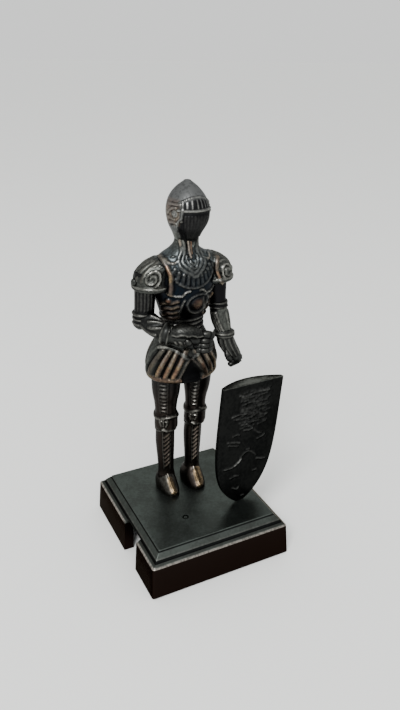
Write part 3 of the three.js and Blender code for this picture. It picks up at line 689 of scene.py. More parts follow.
# %% Flutes of the tassets
SLIT = -3
FLUTE_HEIGHTS = (52.6, 50.6, 48.6, 46.6, 44.7)
FLUTES = ((9, 29), (25, 43), (39, 59), (55, 80))
BORDER = [[44.4, 95], [47.7, 87], [50, 84], [52, 78], [53.4, 64], [53.7, 48], [53.3, 33], [52, 18], [50.2, 4]]
SLIT_EDGE = [[50.2, 1], [48.6, 9], [46.8, 15], [44.4, 22]]
for side in (-1, 1):
    for k, (first, last) in enumerate(FLUTES):
        flute = about(SLIT, [[h, first + (last - first) * n / 4] for n, h in enumerate(FLUTE_HEIGHTS)], side)
        # painted glint: a bright line just beside the middle of each flute
        glint = [[h, a - 1.5] for h, a in flute]
        aside = side * (8 if k < 3 else 11)
        # painted light: flutes on the side of the light are brighter, and the last flute, further round,
        # dimmer
        bright = (0.75 if side < 0 else 0.5) if k < 3 else 0.2
        tassets.ridge(flute, 0.95, 0.6, 0.14, 0.9)
        tassets.groove([[h - 0.1, a + aside] for h, a in flute], 0.5, 0.35)
        tassets.dark *= ramp(tassets.distance(flute), 0.75, 1.0)
        tassets.rub(flute, 1.05, 0.36 * bright, 1.0)
        tassets.rub(glint[1:], 0.6, 1.05 * bright, 1.0)
        tassets.rub(glint[:3], 0.4, bright, 0.55)
    tassets.ridge(about(SLIT, BORDER, side), 0.6, 0.6, 0.05)
    # painted highlight near the top of the border, brighter on the side of the light
    tassets.rub(about(SLIT, BORDER[4:6], side), 0.7, 0.8 if side < 0 else 0.25)
    wider = 0.85 if side < 0 else 1.12
    tassets.ridge(about(SLIT, SLIT_EDGE, side * wider), 0.45, 0.4, 0.12, 0.8)
for a in range(110, 251, 20):
    tassets.ridge([[53, a], [45.2, a]], 0.9, 0.3, 0.3, 0.4)
print("tassets lift", tassets.lift.min().round(2), "to", tassets.lift.max().round(2))

# %% [markdown]
# ### Slit and hem
#
# The slit opens downwards and is sunk and painted black, the shade inside it. The hem is rubbed copper all
# round except across the slit, and the inside of the bell is painted black, the shade under it.

# %% Slit and hem of the tassets
outside = (tassets.t >= tassets.from_t)[:, None]
turn = tassets.turn(SLIT)
drop = ramp(50.2 - tassets.z, 0, 5.5)
slit = np.clip((drop * np.where(turn < 0, 16, 22) - np.abs(turn)) / 3, 0, 1) * outside
# painted shade: the slit is made fully dark
tassets.sink(slit, 1.1, 1.0)
tassets.sheen = tassets.sheen - 0.2 * ramp(84 - np.abs(turn), 0, 8) * ramp(53 - tassets.z, 0, 2)
hem = np.clip(1.25 - np.abs(tassets.z - 43.4) / 0.9, 0, 1) * outside * (1 - slit)
tassets.mark(hem, 0.42, 1.0)
# painted shade: the inside of the bell is made fully dark
tassets.dark = np.maximum(tassets.dark * (1 - hem), (~outside) * 1.0)
keep(tassets)
print("points in the slit", int(slit.sum()), "and on the hem", int(hem.sum()))

# %% [markdown]
# ## Legs
#
# Thigh, knee plate and shin are one form. A strip like a small ladder runs down each thigh and a strip of
# slanted strokes down each shin. The shins' strips face where they do in the photo, which differs a little
# between them. One function makes both legs, so a change to a knee is made once.

# %% Legs
RUNG_TURN = -36
LEG = np.array([
    [3.6, 1.5, 2.9, 3.1],
    [5.4, 1.5, 2.75, 2.95],
    [7.4, 1.5, 2.5, 2.65],
    [12.0, 1.5, 2.7, 2.8],
    [18.0, 1.5, 3.0, 3.1],
    [22.6, 1.1, 3.0, 3.1],
    [24.0, 0.5, 3.2, 3.5],
    [24.8, 0.2, 3.6, 3.9],
    [27.0, 0.0, 3.6, 3.9],
    [28.6, 0.0, 3.6, 4.1],
    [29.6, -0.2, 3.5, 4.1],
    [30.3, 0.2, 3.3, 3.6],
    [33.5, 0.3, 3.6, 3.8],
    [38.0, 0.2, 4.3, 4.5],
    [47.0, 0.2, 4.6, 4.8],
])


def bare_leg(hip, knee, ankle, stout):
    """A leg through three sideways places, from rows of height, y, half width and half depth times stout."""
    across = np.interp(LEG[:, 0], [0, 28, 42, 60], [ankle, knee, hip, hip + (hip - knee) * 1.3])
    rows = [across, LEG[:, 1], LEG[:, 0], LEG[:, 2] * stout, LEG[:, 3] * stout]
    return Form(np.stack(rows, 1), sheen=0.05, spacing=0.26)


print("a leg has", len(LEG), "stations, from", LEG[0, 0], "to", LEG[-1, 0], "shares")

# %% [markdown]
# ### Carving of a leg
#
# The order matters, because a ridge replaces what it crosses: first the ladder and its frame, then the two
# rims of the knee plate with its marks, then the shin and a ridge down the back.


# %% Carving of a leg
def carve_leg(leg, twist, worn):
    """Rungs on the thigh, rims and marks on the knee, and strokes round the twist angle of the shin."""
    for k in range(8):
        h = 31.4 + 1.35 * k
        leg.ridge([[h + 0.2, RUNG_TURN - 11], [h, RUNG_TURN + 11]], 0.4, 0.4, 0.2)
        leg.dome([h + 0.1, RUNG_TURN + 2], 0.7, 0.34, 0.45, worn)
    for a in (-19, 19):
        leg.ridge(about(RUNG_TURN, [[30.8, a], [42.5, a]]), 0.35, 0.2, 0.04)
    rim = [[29.8 - 1.3 * np.sin(np.radians(a)) ** 2, a] for a in range(-180, 181, 30)]
    leg.ridge(rim, 0.58, 0.34, 0.36)
    leg.ridge([[h - 5.2, a] for h, a in rim], 0.38, 0.28, 0.35)
    for a in (-20, -2, 16):
        leg.ridge(about(RUNG_TURN, [[26.2, a * 0.6], [27.4, a], [28.9, a]]), 0.36, 0.35, 0.25)
        leg.dome([28.1, RUNG_TURN + 0.6 * a], 0.4, 0.35, 0.5, 0.9)
    leg.ridge(about(RUNG_TURN, [[25.1, -6], [24.7, 12]]), 0.42, 0.5, 1.0)
    for k in range(8):
        h = 9.6 + 1.62 * k
        leg.ridge([[h, twist - 14], [h + 1.5, twist + 14]], 0.36, 0.42, 0.15 + 0.45 * worn, 0.5)
    for a in (-23, 23):
        leg.ridge(about(twist, [[8.4, a], [23.2, a]]), 0.3, 0.25, 0.12)
    leg.ridge([[8, 180], [23, 180]], 0.4, 0.3, 0.2)
    return leg


right_leg = carve_leg(bare_leg(-4.8, -4.8, -3.8, 1.0), -14, 0.3)
left_leg = carve_leg(bare_leg(5.9, 5.2, 5.3, 0.95), -6, 0.75)
print("leg lift", left_leg.lift.min().round(2), "to", left_leg.lift.max().round(2))

# %% [markdown]
# ## Shoes
#
# A round-toed shoe is a form that runs forwards instead of up, so its sideways direction is given. Level
# rings would cut the toe lengthways and leave it coarse. Its top carries one ridge that is rubbed to copper
# and gold, and the left shoe is the more worn one.


# %% Shoes
def shoe(ankle, wide, peak):
    """A shoe under an ankle, its half widths times wide, with its ridge at the peak angle."""
    rows = (
        [-0.7, 5.0, 1.0, 1.8],
        [-0.6, 4.3, 2.2, 4.2],
        [-0.4, 2.8, 2.9, 6.4],
        [-0.3, 0.9, 3.0, 7.3],
        [-0.2, -1.1, 2.9, 5.6],
        [-0.05, -3.4, 2.4, 3.1],
        [0.0, -4.9, 1.6, 1.9],
    )
    form = Form(
        [[ankle + drift, y, tall * 0.2, half * wide, tall * 0.8] for drift, y, half, tall in rows],
        sideways=(1, 0, 0), ends=(0.2, 0.5), sheen=0.08,
    )
    form.ridge([[t, peak] for t in (2.6, 3.2, 4.0, 4.8, 5.5, 5.9)], 0.3, 0.2, 0.6, 0.3)
    form.dark *= 0.4
    form.rub([[4.3, peak - 4], [5.9, peak - 6]], 1.3, 0.7, 1.0)
    return form


right_shoe = shoe(-3.8, 1.03, 191)
right_shoe.sheen += 0.14
left_shoe = shoe(5.3, 1.13, 186)
left_shoe.rub([[2.6, 160], [3.4, 160], [4.2, 162], [5.2, 166]], 1.5, 0.6, 1.0)
for form in (right_leg, right_shoe, left_leg, left_shoe):
    keep(form)
print("forms so far", len(forms))

# %% [markdown]
# ## Shoulder plates
#
# Each is a cap that slopes out from the neck, with a flared rim, a scroll on its face and feathered strokes
# over the top. The scroll is one ridge along a spiral. The strap beside it lies on the chest at the right
# shoulder and on the cap at the left one, because the plates sit differently on the two sides.


# %% Shoulder plates
def pauldron(side, x, scroll, strap=None):
    """A shoulder plate on one side, x shares from the middle, with the middle of its scroll and its strap."""
    shape = (
        [0.3, 70.9, 5.0, 5.1],
        [0.4, 71.3, 5.6, 5.7],
        [0.4, 71.9, 5.7, 5.8],
        [0.2, 72.7, 5.3, 5.4],
        [0.0, 74.6, 5.3, 5.4],
        [-0.7, 76.6, 4.8, 4.9],
        [-2.0, 78.3, 3.9, 4.0],
        [-3.9, 79.8, 2.2, 2.4],
    )
    cap = Form([[side * (x + shift), 0.2, z, a, b] for shift, z, a, b in shape], ends=(0, 0.4), sheen=0.45)
    height, middle = scroll
    away = -side * cap.turn(middle)
    hollow = ramp(away, 27, 33) * ramp(60 - away, 0, 10) * ramp(cap.z, 72.6, 73) * ramp(77.5 - cap.z, 0, 1)
    cap.sink(hollow, 0.3, 0.8)
    if strap:
        cap.ridge(strap, 0.7, 0.6, 0.35, 0.8)
        # painted highlight along the strap
        cap.rub(strap[3:6], 0.5, 0.85, 1.0)
    for k in range(6):
        feather = about(middle + side * (33 + 22 * k), [[74.2, 0], [76.6, -4], [79, -14]], side)
        cap.ridge(feather, 0.6, 0.28, 0.1, 0.5)
    cap.dark *= 0.5
    line = cap.spiral(scroll, 90 + 150 * side, -1.6 * side, 2.4, 0.25)
    cap.ridge(line, 0.45, 0.6, 0.3)
    # painted highlight along the outer turn of the scroll
    cap.rub(line[:5], 0.4, 0.7)
    over = about(middle, [[height + 2.9, 14], [height + 3.2, 2], [height + 2.8, -17]], side)
    cap.ridge(over, 0.38, 0.4, 0.3)
    cap.ridge([[72.25, a] for a in range(-180, 181, 45)], 0.42, 0.32, 0.45)
    keep(cap)
    levels = ((72.9, 0.9), (73.4, 1.0), (73.9, 0.9))
    keep(Form([[side * (x + 5.5), 0.2, z, wide, wide + 0.1] for z, wide in levels], ends=(0.5, 0.5)))


LEFT_STRAP = [[78.6, 27], [77.4, 2], [76, -12], [74.7, -15], [73.5, -11], [72.3, -8], [71.2, -3]]
pauldron(-1, 9.0, (75.1, -26))
pauldron(1, 9.8, (74.4, 26), LEFT_STRAP)
print("forms so far", len(forms))

# %% [markdown]
# ## Right arm
#
# The right arm bends across the waist. The upper arm is fluted and the elbow has three rings. Both are
# level forms, which run upwards. One form bent at a right angle would fold over itself inside the elbow, so
# the arm is three forms that run into each other, and the elbow's rings hide the change.

# %% Upper arm and elbow
upper = keep(Form([
    [-11.6, 0.7, 61, 2.9, 2.7],
    [-11.4, 0.4, 68, 3.0, 2.8],
    [-11.4, 0.3, 76, 3.0, 2.9],
], sheen=0.05))
for a in (-80, -60, -40, -20, 0, 20):
    upper.ridge([[65.2, a], [72, a]], 0.4, 0.2, 0.09)
elbow = keep(Form(
    [
        [-12.4, 1.6, 58.6, 1.0, 1.2],
        [-12.2, 1.3, 59.6, 2.2, 2.6],
        [-12.0, 1.1, 60.7, 2.7, 3.1],
        [-11.9, 1.0, 61.1, 2.5, 2.8],
        [-11.9, 1.0, 62.2, 2.8, 3.1],
        [-11.9, 1.0, 62.6, 2.6, 2.9],
        [-11.8, 0.9, 63.7, 3.0, 3.2],
        [-11.7, 0.9, 64.3, 2.8, 2.7],
    ],
    ends=(0.3, 0), sheen=0.15,
))
for h in (60.7, 62.2, 63.7):
    elbow.band(h, 0.42, 0.2, 0.3)
print("forms so far", len(forms))

# %% [markdown]
# ### Forearm
#
# The forearm is carved with long leaves. It lies across the body, so its sideways direction is given: it
# points down.

# %% Forearm
DOWN = (0, 0, -1)
forearm = keep(Form(
    [
        [-11.6, 1.0, 61.8, 2.8, 2.6],
        [-10.8, -1.1, 61.3, 3.1, 2.8],
        [-9.5, -3.5, 60.2, 3.0, 2.7],
        [-8.2, -5.6, 59.3, 2.4, 2.3],
    ],
    sideways=DOWN, sheen=0.1,
))
for rows in (
    [[1.2, -72], [1.8, -85], [2.6, -100]],
    [[1.4, -36], [1.9, -56], [2.5, -78]],
    [[1.7, -8], [2.2, -22], [2.8, -50]],
    [[0.9, 10], [1.6, 20], [2.6, 10]],
):
    forearm.ridge(rows, 0.5, 0.42, 0.25)
print("forearm lift up to", forearm.lift.max().round(2))

# %% [markdown]
# ### Cuff
#
# The cuff of the gauntlet flares over the forearm in two rings and runs on into the hand. On real armour it
# is a separate sheet, but cast in one with the arm it only has to widen and narrow again.

# %% Cuff
cuff = keep(Form(
    [
        [-8.3, -5.6, 59.3, 2.3, 2.2],
        [-8.0, -6.0, 59.2, 3.3, 3.0],
        [-7.4, -6.7, 59.1, 2.7, 2.5],
        [-7.0, -7.0, 59.0, 3.2, 2.9],
        [-6.5, -7.4, 58.9, 2.6, 2.4],
        [-4.4, -8.9, 58.6, 2.5, 2.1],
        [-1.8, -9.6, 58.0, 2.3, 1.8],
        [0.6, -9.6, 57.2, 1.9, 1.6],
    ],
    sideways=DOWN, sheen=0.15,
))
for t in (1.0, 3.0):
    cuff.band(t, 0.42, 0.15, 0.35)
cuff.ridge([[4, -72], [4.4, -52], [4.8, -36]], 0.5, 0.45, 1.0)
for k in range(4):
    cuff.ridge([[4.6 + 0.4 * k, 20], [4.9 + 0.4 * k, 60]], 0.35, 0.3, 0.4)
print("forms so far", len(forms))

# %% [markdown]
# ### Fingers
#
# Fingers are short tubes through three points, with grooves at their joints. A finger is about 1.5 mm
# thick, so nothing finer would show. Where they face up they are made a little brighter.

# %% Fingers
JOINTS = (0.55, 1.25)


def finger(points, thick):
    """A round tube through points, closed round at both ends, with a groove at each joint."""
    rows = [[*p, thick, thick] for p in points]
    tube = keep(Form(rows, sideways=(0.1, 0.2, 1), ends=(thick * 0.6, thick * 0.6), sheen=0.14))
    for t in JOINTS:
        tube.groove([[t, a] for a in range(-180, 181, 60)], 0.22, 0.14)
    # made a little brighter where the surface faces up
    tube.mark(np.clip(tube.normal[..., 2], 0, 1) * np.ones(tube.lift.shape), 0.15)


print("the grooves of a finger lie at stations", JOINTS)

# %% [markdown]
# ### Right hand
#
# The hand is closed round nothing: what it held is lost, so nothing is put there. A pitted plate with a
# scalloped edge covers its back. The pits are the product of two sine waves, one along it and one round it,
# because a pattern in the material alone would darken the metal without denting it.

# %% Right hand
plate = keep(Form(
    [
        [-6.3, -8.0, 60.0, 1.6, 2.2],
        [-4.6, -9.2, 60.4, 2.0, 2.6],
        [-2.4, -9.9, 60.2, 2.0, 2.5],
        [-0.2, -10.3, 59.3, 1.6, 2.0],
        [1.6, -10.4, 58.4, 0.7, 1.0],
    ],
    sideways=DOWN, ends=(0, 0.3), sheen=0.15,
))
pits = np.sin(7 * plate.s) * np.sin(np.radians(14 * plate.a))[None, :]
plate.lift += 0.09 * pits
plate.dark = np.maximum(plate.dark, 0.6 * ramp(-pits, 0.1, 0.5))
# made a little brighter where the plate faces up
plate.mark(np.clip(plate.normal[..., 2], 0, 1) ** 2 * np.ones(plate.lift.shape), 0.15)
plate.ridge([[0.1, 0], [0.7, 14], [1.2, 4], [1.8, 16], [2.3, 4], [2.9, 10], [3.6, -10]], 0.34, 0.3, 0.3)
finger([[1, -9.4, 58.4], [3, -10.6, 58.5], [4.7, -10, 57.6]], 1.25)
for k in range(3):
    knuckle = 57 - 1.5 * k
    finger([[0.6, -9.8, knuckle], [2.2, -11.3, knuckle], [4.6, -9.8, 56.4 - 1.35 * k]], 0.95)
finger([[-3.6, -9.6, 58.8], [-3.1, -11.2, 57.4], [-1.8, -10.6, 55.4]], 0.9)
level = np.array([-2.2, -1.2, 0, 1.2, 2.2])
swell = np.sqrt(1 - (level / 2.4) ** 2)
palm = [np.full(5, 1.6), np.full(5, -8.8), 55.8 + level, 3.2 * swell, 1.9 * swell]
keep(Form(np.stack(palm, 1), ends=(0.2, 0.2), sheen=0.05))
print("forms so far", len(forms))

# %% [markdown]
# ## Left arm
#
# The left arm hangs a little away from the body, and its forearm is ribbed and rubbed on the front. It is
# nearly straight, so one level form is enough from the shoulder to the wrist.

# %% Left arm
arm = keep(Form([
    [12.6, -2.3, 55.0, 2.3, 2.3],
    [12.0, -1.4, 58.5, 2.8, 2.6],
    [11.7, -0.6, 62.0, 2.7, 2.6],
    [11.7, -0.4, 62.6, 2.9, 2.9],
    [11.6, -0.3, 63.9, 2.9, 2.9],
    [11.5, -0.1, 64.6, 2.6, 2.7],
    [11.2, 0.2, 70.0, 3.0, 2.9],
    [11.2, 0.3, 76.0, 3.0, 2.9],
]))
RIBS = ((-86, -72), (-70, -55), (-56, -37), (-43, -19), (24, 34), (60, 66), (96, 98))
for first, last in RIBS:
    rubbed = 0.55 if first < -20 else 0.25
    arm.ridge([[60.9, first], [58, (first + last) / 2], [55.5, last]], 0.4, 0.35, rubbed)
arm.sheen = arm.sheen - 0.3 + 0.5 * ramp(62.4 - arm.z, 0, 0.3) * ramp(arm.turn(8), -48, -30)
for h in (62.5, 63.9):
    arm.band(h, 0.35, 0.2, 0.25)
print("left arm ribs", len(RIBS), "highest", arm.lift.max().round(2))

# %% [markdown]
# ### Left hand
#
# The glove is ribbed like the forearm and has two rings at the wrist, and its fingers curl inwards.

# %% Left hand
glove = keep(Form([
    [16.3, -4.8, 44.8, 1.8, 1.3],
    [16.1, -4.6, 45.9, 2.3, 1.6],
    [15.2, -4.1, 47.9, 2.7, 1.9],
    [13.8, -3.4, 50.7, 2.9, 2.3],
    [13.1, -2.9, 53.2, 2.7, 2.5],
    [13.0, -2.8, 53.8, 3.2, 2.9],
    [12.9, -2.6, 54.6, 3.2, 2.9],
    [12.6, -2.4, 55.4, 2.4, 2.3],
]))
glove.sheen -= 0.1
for a in (-60, -29, 2, 33):
    glove.ridge([[47.4, a], [52.8, a]], 0.4, 0.3, 0.22)
for h in (53.7, 54.6):
    glove.band(h, 0.35, 0.15, 0.45)
for k in range(4):
    tip = [14.1 + 0.9 * k, -5.2 + 0.3 * k, 44.2]
    finger([[14.9 + k, -4.8 + 0.2 * k, 46.1], [14.9 + k, -5.4 + 0.3 * k, 44.9], tip], 0.9)
finger([[13.1, -4.4, 49.6], [12.8, -5.6, 47.8], [13.5, -6, 46.4]], 0.9)
print("forms in all", len(forms), "points", sum(form.lift.size for form in forms))

# %% [markdown]
# ## Mesh objects and joins
#
# Two helpers make objects and join them. The points are written in metres, because the frame is in metres.
# The manifold solver needs closed meshes, which these are, and it is the fastest and carries the numbers
# over the join.

# %% Mesh objects and joins
SOLVER = "MANIFOLD"


def add_mesh(name, points, faces, values, home):
    """A mesh object from millimetre points, with the finish numbers as point attributes."""
    mesh = bpy.data.meshes.new(name)
    mesh.from_pydata((points * MM).tolist(), [], faces)
    for key, value in values.items():
        mesh.attributes.new(key, "FLOAT", "POINT").data.foreach_set("value", value.astype(np.float32))
    piece = bpy.data.objects.new(name, mesh)
    home.objects.link(piece)
    return piece


def combine(piece, operation, home):
    """Joins a piece with all meshes of a collection, or cuts them out of it, and removes those meshes."""
    change = piece.modifiers.new("change", "BOOLEAN")
    change.operation = operation
    change.solver = SOLVER
    change.operand_type = "COLLECTION"
    change.collection = home
    graph = bpy.context.evaluated_depsgraph_get()
    mesh = bpy.data.meshes.new_from_object(piece.evaluated_get(graph))
    mesh.name = piece.name
    mesh.materials.clear()
    piece.modifiers.clear()
    piece.data = mesh
    for other in list(home.objects):
        bpy.data.objects.remove(other)


print("joins and cuts use the solver", SOLVER)

# %% [markdown]
# ## One casting
#
# The real figure is one piece of metal, so the forms are joined into one closed surface. The join also
# throws away every hidden inner wall. Points that the join makes lie in creases, where the dark finish
# gathers and where shade falls, and both are painted there. They lack the number `kept`, which every other
# point has, and so the finish finds them.

# %% Join the forms
NUMBERS = ("rubbed", "copper", "dark", "sheen", "kept")
scene = bpy.context.scene
others = bpy.data.collections.new("forms")
scene.collection.children.link(others)
pieces = []
for n, form in enumerate(forms):
    points, faces, finish = solid(form)
    values = dict(zip(NUMBERS, (*finish, np.ones(len(points)))))
    name, home = (f"form_{n}", others) if n else ("knight_fine", scene.collection)
    pieces.append(add_mesh(name, place(points), faces, values, home))
knight = pieces[0]
combine(knight, "UNION", others)
bpy.data.collections.remove(others)
print("knight triangles", sum(len(face.vertices) - 2 for face in knight.data.polygons))

# %% [markdown]
# ## Plinth
#
# The plinth is a thin casting, open below, whose wall follows its outside. Stacked boxes would give its
# steps but not its slopes, so a profile is carried round it. The profile is one path: from the middle of
# the ceiling down the inner wall, under the rim, up the skirt, over the ledge, the step and the bevel and
# across the plate. `bend` rounds an edge of it. Each point is a height and an inset from the skirt.


# %% Profile of the plinth
def bend(z0, inset0, z1, inset1, steps=5):
    """A quarter round from one profile point to the next, as height and inset."""
    phi = np.radians(np.linspace(0, 90, steps))
    return [[z0 + (z1 - z0) * np.sin(p), inset0 + (inset1 - inset0) * (1 - np.cos(p))] for p in phi]


WALL = 2.0
EDGE = 0.3
LEDGE_TOP = SKIRT_HEIGHT + LEDGE_RISE
STEP_TOP, STEP_IN = LEDGE_TOP + STEP_RISE, LEDGE_WIDTH + STEP_WIDTH
BEVEL_TOP, BEVEL_IN = STEP_TOP + BEVEL_RISE, STEP_IN + BEVEL_WIDTH
ROOF = PLATE_TOP - WALL
# ceiling and inner wall
profile = [[ROOF, 14.0], [ROOF, WALL + 0.3 + LEDGE_WIDTH + EDGE], [ROOF, WALL + LEDGE_WIDTH + EDGE]]
profile += [[SKIRT_HEIGHT - WALL, WALL], [0.0, WALL], [0.0, 1.0], [0.0, 0.15 - SKIRT_FLARE]]
# skirt and its rounded edge
profile += [[0.15, -SKIRT_FLARE], [SKIRT_HEIGHT * 0.5, -SKIRT_FLARE / 2]]
profile += bend(SKIRT_HEIGHT - EDGE, 0.0, SKIRT_HEIGHT, EDGE)
# ledge
profile += [[SKIRT_HEIGHT + 0.12, 0.48], [LEDGE_TOP - 0.1, 0.9], [LEDGE_TOP - 0.12, LEDGE_WIDTH]]
# step
profile += [[LEDGE_TOP + 0.1, LEDGE_WIDTH + 0.1], [STEP_TOP - 0.15, STEP_IN - 0.12]]
profile += [[STEP_TOP - 0.03, STEP_IN - 0.05], [STEP_TOP + 0.05, STEP_IN + 0.04]]
# bevel and the groove above it
profile += [[STEP_TOP + 0.25, STEP_IN + 0.2], [BEVEL_TOP - 0.2, BEVEL_IN - 0.18]]
profile += [[BEVEL_TOP - 0.09, BEVEL_IN - 0.05], [BEVEL_TOP - 0.09, BEVEL_IN + 0.05]]
# plate
profile += bend(BEVEL_TOP + 0.1, BEVEL_IN + 0.1, PLATE_TOP, BEVEL_IN + 0.22, 4)
profile += [[PLATE_TOP, BEVEL_IN + 0.5], [PLATE_TOP, 5.0], [PLATE_TOP, 10.0]]
print("the profile has", len(profile), "points up to", round(PLATE_TOP, 2), "mm")

# %% [markdown]
# ### Rectangle
#
# Each point of the profile goes once round the plinth. A rectangle with rounded corners gives every ring
# the same number of points, so the rings can be joined by quads.


# %% Rectangle
def rectangle(half_x, half_y, corner, quarter=6, side=24):
    """Points round a rectangle with rounded corners, counter-clockwise, evenly many for every size."""
    ring = []
    for k in range(4):
        x = (1 if k in (0, 3) else -1) * (half_x - corner)
        y = (1 if k < 2 else -1) * (half_y - corner)
        phi = np.radians(90 * (k + np.linspace(0, 1, quarter)))
        ring += [[x + corner * np.cos(p), y + corner * np.sin(p)] for p in phi]
        way = np.array([[-1, 0], [0, -1], [1, 0], [0, 1]][k])
        length = 2 * ((half_x if k % 2 == 0 else half_y) - corner)
        ring += [np.array(ring[-1]) + way * length * part for part in np.linspace(0, 1, side)[1:-1]]
    return np.array(ring)


print("a ring of the plinth has", len(rectangle(PLINTH_WIDTH / 2, PLINTH_DEPTH / 2, EDGE)), "points")

# %% [markdown]
# ### Round the plinth
#
# The corners are sharp above the skirt, as on the real one. The skirt's edge is worn bright, and the two
# grooves of the moulding are painted dark, the shade that lies in them.

# %% Round the plinth
SHARP_CORNER, SKIRT_CORNER, INNER_CORNER = 0.14, 0.6, 0.3
EDGE_WORN, STEP_WORN, STEP_SHADE, GROOVE_SHADE = 0.65, 0.08, 0.97, 0.9
rings = []
for z, inset in profile:
    corner = SKIRT_CORNER if inset < 1.5 else INNER_CORNER
    if z > SKIRT_HEIGHT + 0.05:
        corner = SHARP_CORNER
    ring = rectangle(PLINTH_WIDTH / 2 - inset, PLINTH_DEPTH / 2 - inset, corner)
    rings.append(np.column_stack([ring + MIDDLE[:2], np.full(len(ring), z)]))
rings = np.array(rings)
z, inset = np.array(profile).T
skirt_edge = (z > SKIRT_HEIGHT - 0.2) & (z <= SKIRT_HEIGHT) & (inset > 0) & (inset < 0.4)
worn = EDGE_WORN * skirt_edge + STEP_WORN * (np.abs(z - STEP_TOP) < 0.1)
# painted shade: the riser below the step and the groove above the bevel are darkened
below_step = (z > LEDGE_TOP - 0.15) & (z < STEP_TOP - 0.1) & (inset > 1)
groove_shade = STEP_SHADE * below_step + GROOVE_SHADE * (np.abs(z - BEVEL_TOP) < 0.1)
spread = [np.broadcast_to(v[:, None], rings.shape[:2]) for v in (worn, groove_shade)]
points, faces, (worn, groove_shade) = closed(rings, MIDDLE + [0, 0, ROOF], MIDDLE + [0, 0, PLATE_TOP], spread)
plinth = add_mesh("plinth_fine", points, faces, {"rubbed": worn, "dark": groove_shade}, scene.collection)
print("plinth faces before the cuts", len(faces))

# %% [markdown]
# ### Bars to cut with
#
# What cuts a hole is itself a closed mesh: a round bar or a box, each two rings that are joined and shut.


# %% Bars to cut with
def round_bar(x, y, z0, z1, radius, sides=40):
    """A closed upright cylinder: x + radius cos, y + radius sin at two heights."""
    phi = np.radians(np.arange(sides) * 360 / sides)
    ring = np.stack([x + radius * np.cos(phi), y + radius * np.sin(phi)], 1)
    pair = np.array([np.column_stack([ring, np.full(sides, z)]) for z in (z0, z1)])
    return closed(pair, [x, y, z0], [x, y, z1], [pair[..., 0] * 0])[:2]


def bar(x0, x1, y0, y1, z0, z1):
    """A closed box between two limits each way."""
    ring = np.array([[x0, y0], [x1, y0], [x1, y1], [x0, y1]])
    pair = np.array([np.column_stack([ring, np.full(4, z)]) for z in (z0, z1)])
    middle = [(x0 + x1) / 2, (y0 + y1) / 2]
    return closed(pair, [*middle, z0], [*middle, z1], [pair[..., 0] * 0])[:2]


print("a round bar has", len(round_bar(0, 0, 0, 1, 1)[1]), "faces")

# %% [markdown]
# ### Notch and socket
#
# A square notch is cut through the left wall, and a round socket into the plate in front of the figure. A
# thin dark ring shows in the photo there, so a pip stands in the socket nearly up to the plate. Cutting
# them with closed bars keeps their edges exact, which the grid of the profile couldn't do.

# %% Notch and socket
NOTCH_FROM_FRONT, NOTCH_WIDTH = 10.4, 7.6
SOCKET = (LEFT_EDGE + 13.2, FRONT_EDGE + 10.7)
SOCKET_RADIUS, SOCKET_DEPTH = 0.8, 0.9
PIP_RADIUS, PIP_BELOW, PIP_FOOT = 0.45, 0.08, 1.2
CLEAR = 1
notch_front = FRONT_EDGE + NOTCH_FROM_FRONT
through_wall = (LEFT_EDGE - 2 * CLEAR, LEFT_EDGE + WALL + LEDGE_WIDTH + EDGE)
cutters = bpy.data.collections.new("cutters")
scene.collection.children.link(cutters)
notch = bar(*through_wall, notch_front, notch_front + NOTCH_WIDTH, -CLEAR, LEDGE_TOP)
add_mesh("notch", *notch, {}, cutters)
socket = round_bar(*SOCKET, PLATE_TOP - SOCKET_DEPTH, PLATE_TOP + CLEAR, SOCKET_RADIUS)
add_mesh("socket", *socket, {}, cutters)
combine(plinth, "DIFFERENCE", cutters)
add_mesh("pip", *round_bar(*SOCKET, PLATE_TOP - PIP_FOOT, PLATE_TOP - PIP_BELOW, PIP_RADIUS, 24), {}, cutters)
combine(plinth, "UNION", cutters)
bpy.data.collections.remove(cutters)
print("plinth faces", len(plinth.data.polygons))

# %% [markdown]
# ## Shield
#
# A flat front with a swollen back, as a shield has that was cast lying on its face. It stands on its narrow
# foot, turned a little and leaning a little, so its points are worked out on its own face first and then
# set in place.

# %% Place on the shield
SHIELD_WIDTH, SHIELD_HEIGHT, SHIELD_EDGE, SHIELD_BULGE = 18.5, 33.2, 0.9, 2.2
FOOT = np.array([LEFT_EDGE + PLINTH_WIDTH - 7.9, FRONT_EDGE + 10.3, PLATE_TOP])
SHIELD_TURN, SHIELD_TILT = np.radians(9.7), np.radians(5.6)


def on_shield(across, up, out):
    """Across and up the shield's face from its foot, and out from it, to millimetres of the frame."""
    x = across * np.cos(SHIELD_TILT) + up * np.sin(SHIELD_TILT)
    z = up * np.cos(SHIELD_TILT) - across * np.sin(SHIELD_TILT)
    side = np.array([np.cos(SHIELD_TURN), np.sin(SHIELD_TURN), 0])
    front = np.array([np.sin(SHIELD_TURN), -np.cos(SHIELD_TURN), 0])
    points = FOOT + x[..., None] * side + out[..., None] * front + z[..., None] * np.array([0, 0, 1.0])
    points[..., 2] = np.maximum(points[..., 2], PLATE_TOP + SOLE_GAP)
    return points


print("shield foot at", FOOT.round(2), "mm")

# %% [markdown]
# ### Distance to a stroke
#
# The shield is flat in front, so the distance to a stroke is measured on its plane, in millimetres.


# %% Distance to a stroke
def to_stroke(across, up, path):
    """Least distance in millimetres from points of the face to a line of [across, up] shares."""
    line = smooth(path, np.linspace(0, len(path) - 1, 6 * (len(path) - 1) + 1))
    line = line * [SHIELD_WIDTH / 2, SHIELD_HEIGHT]
    best = np.full(across.shape, FAR)
    for p, q in zip(line[:-1], line[1:]):
        d = q - p
        along = np.clip(((across - p[0]) * d[0] + (up - p[1]) * d[1]) / (d @ d + TINY), 0, 1)
        best = np.minimum(best, np.hypot(across - p[0] - along * d[0], up - p[1] - along * d[1]))
    return best


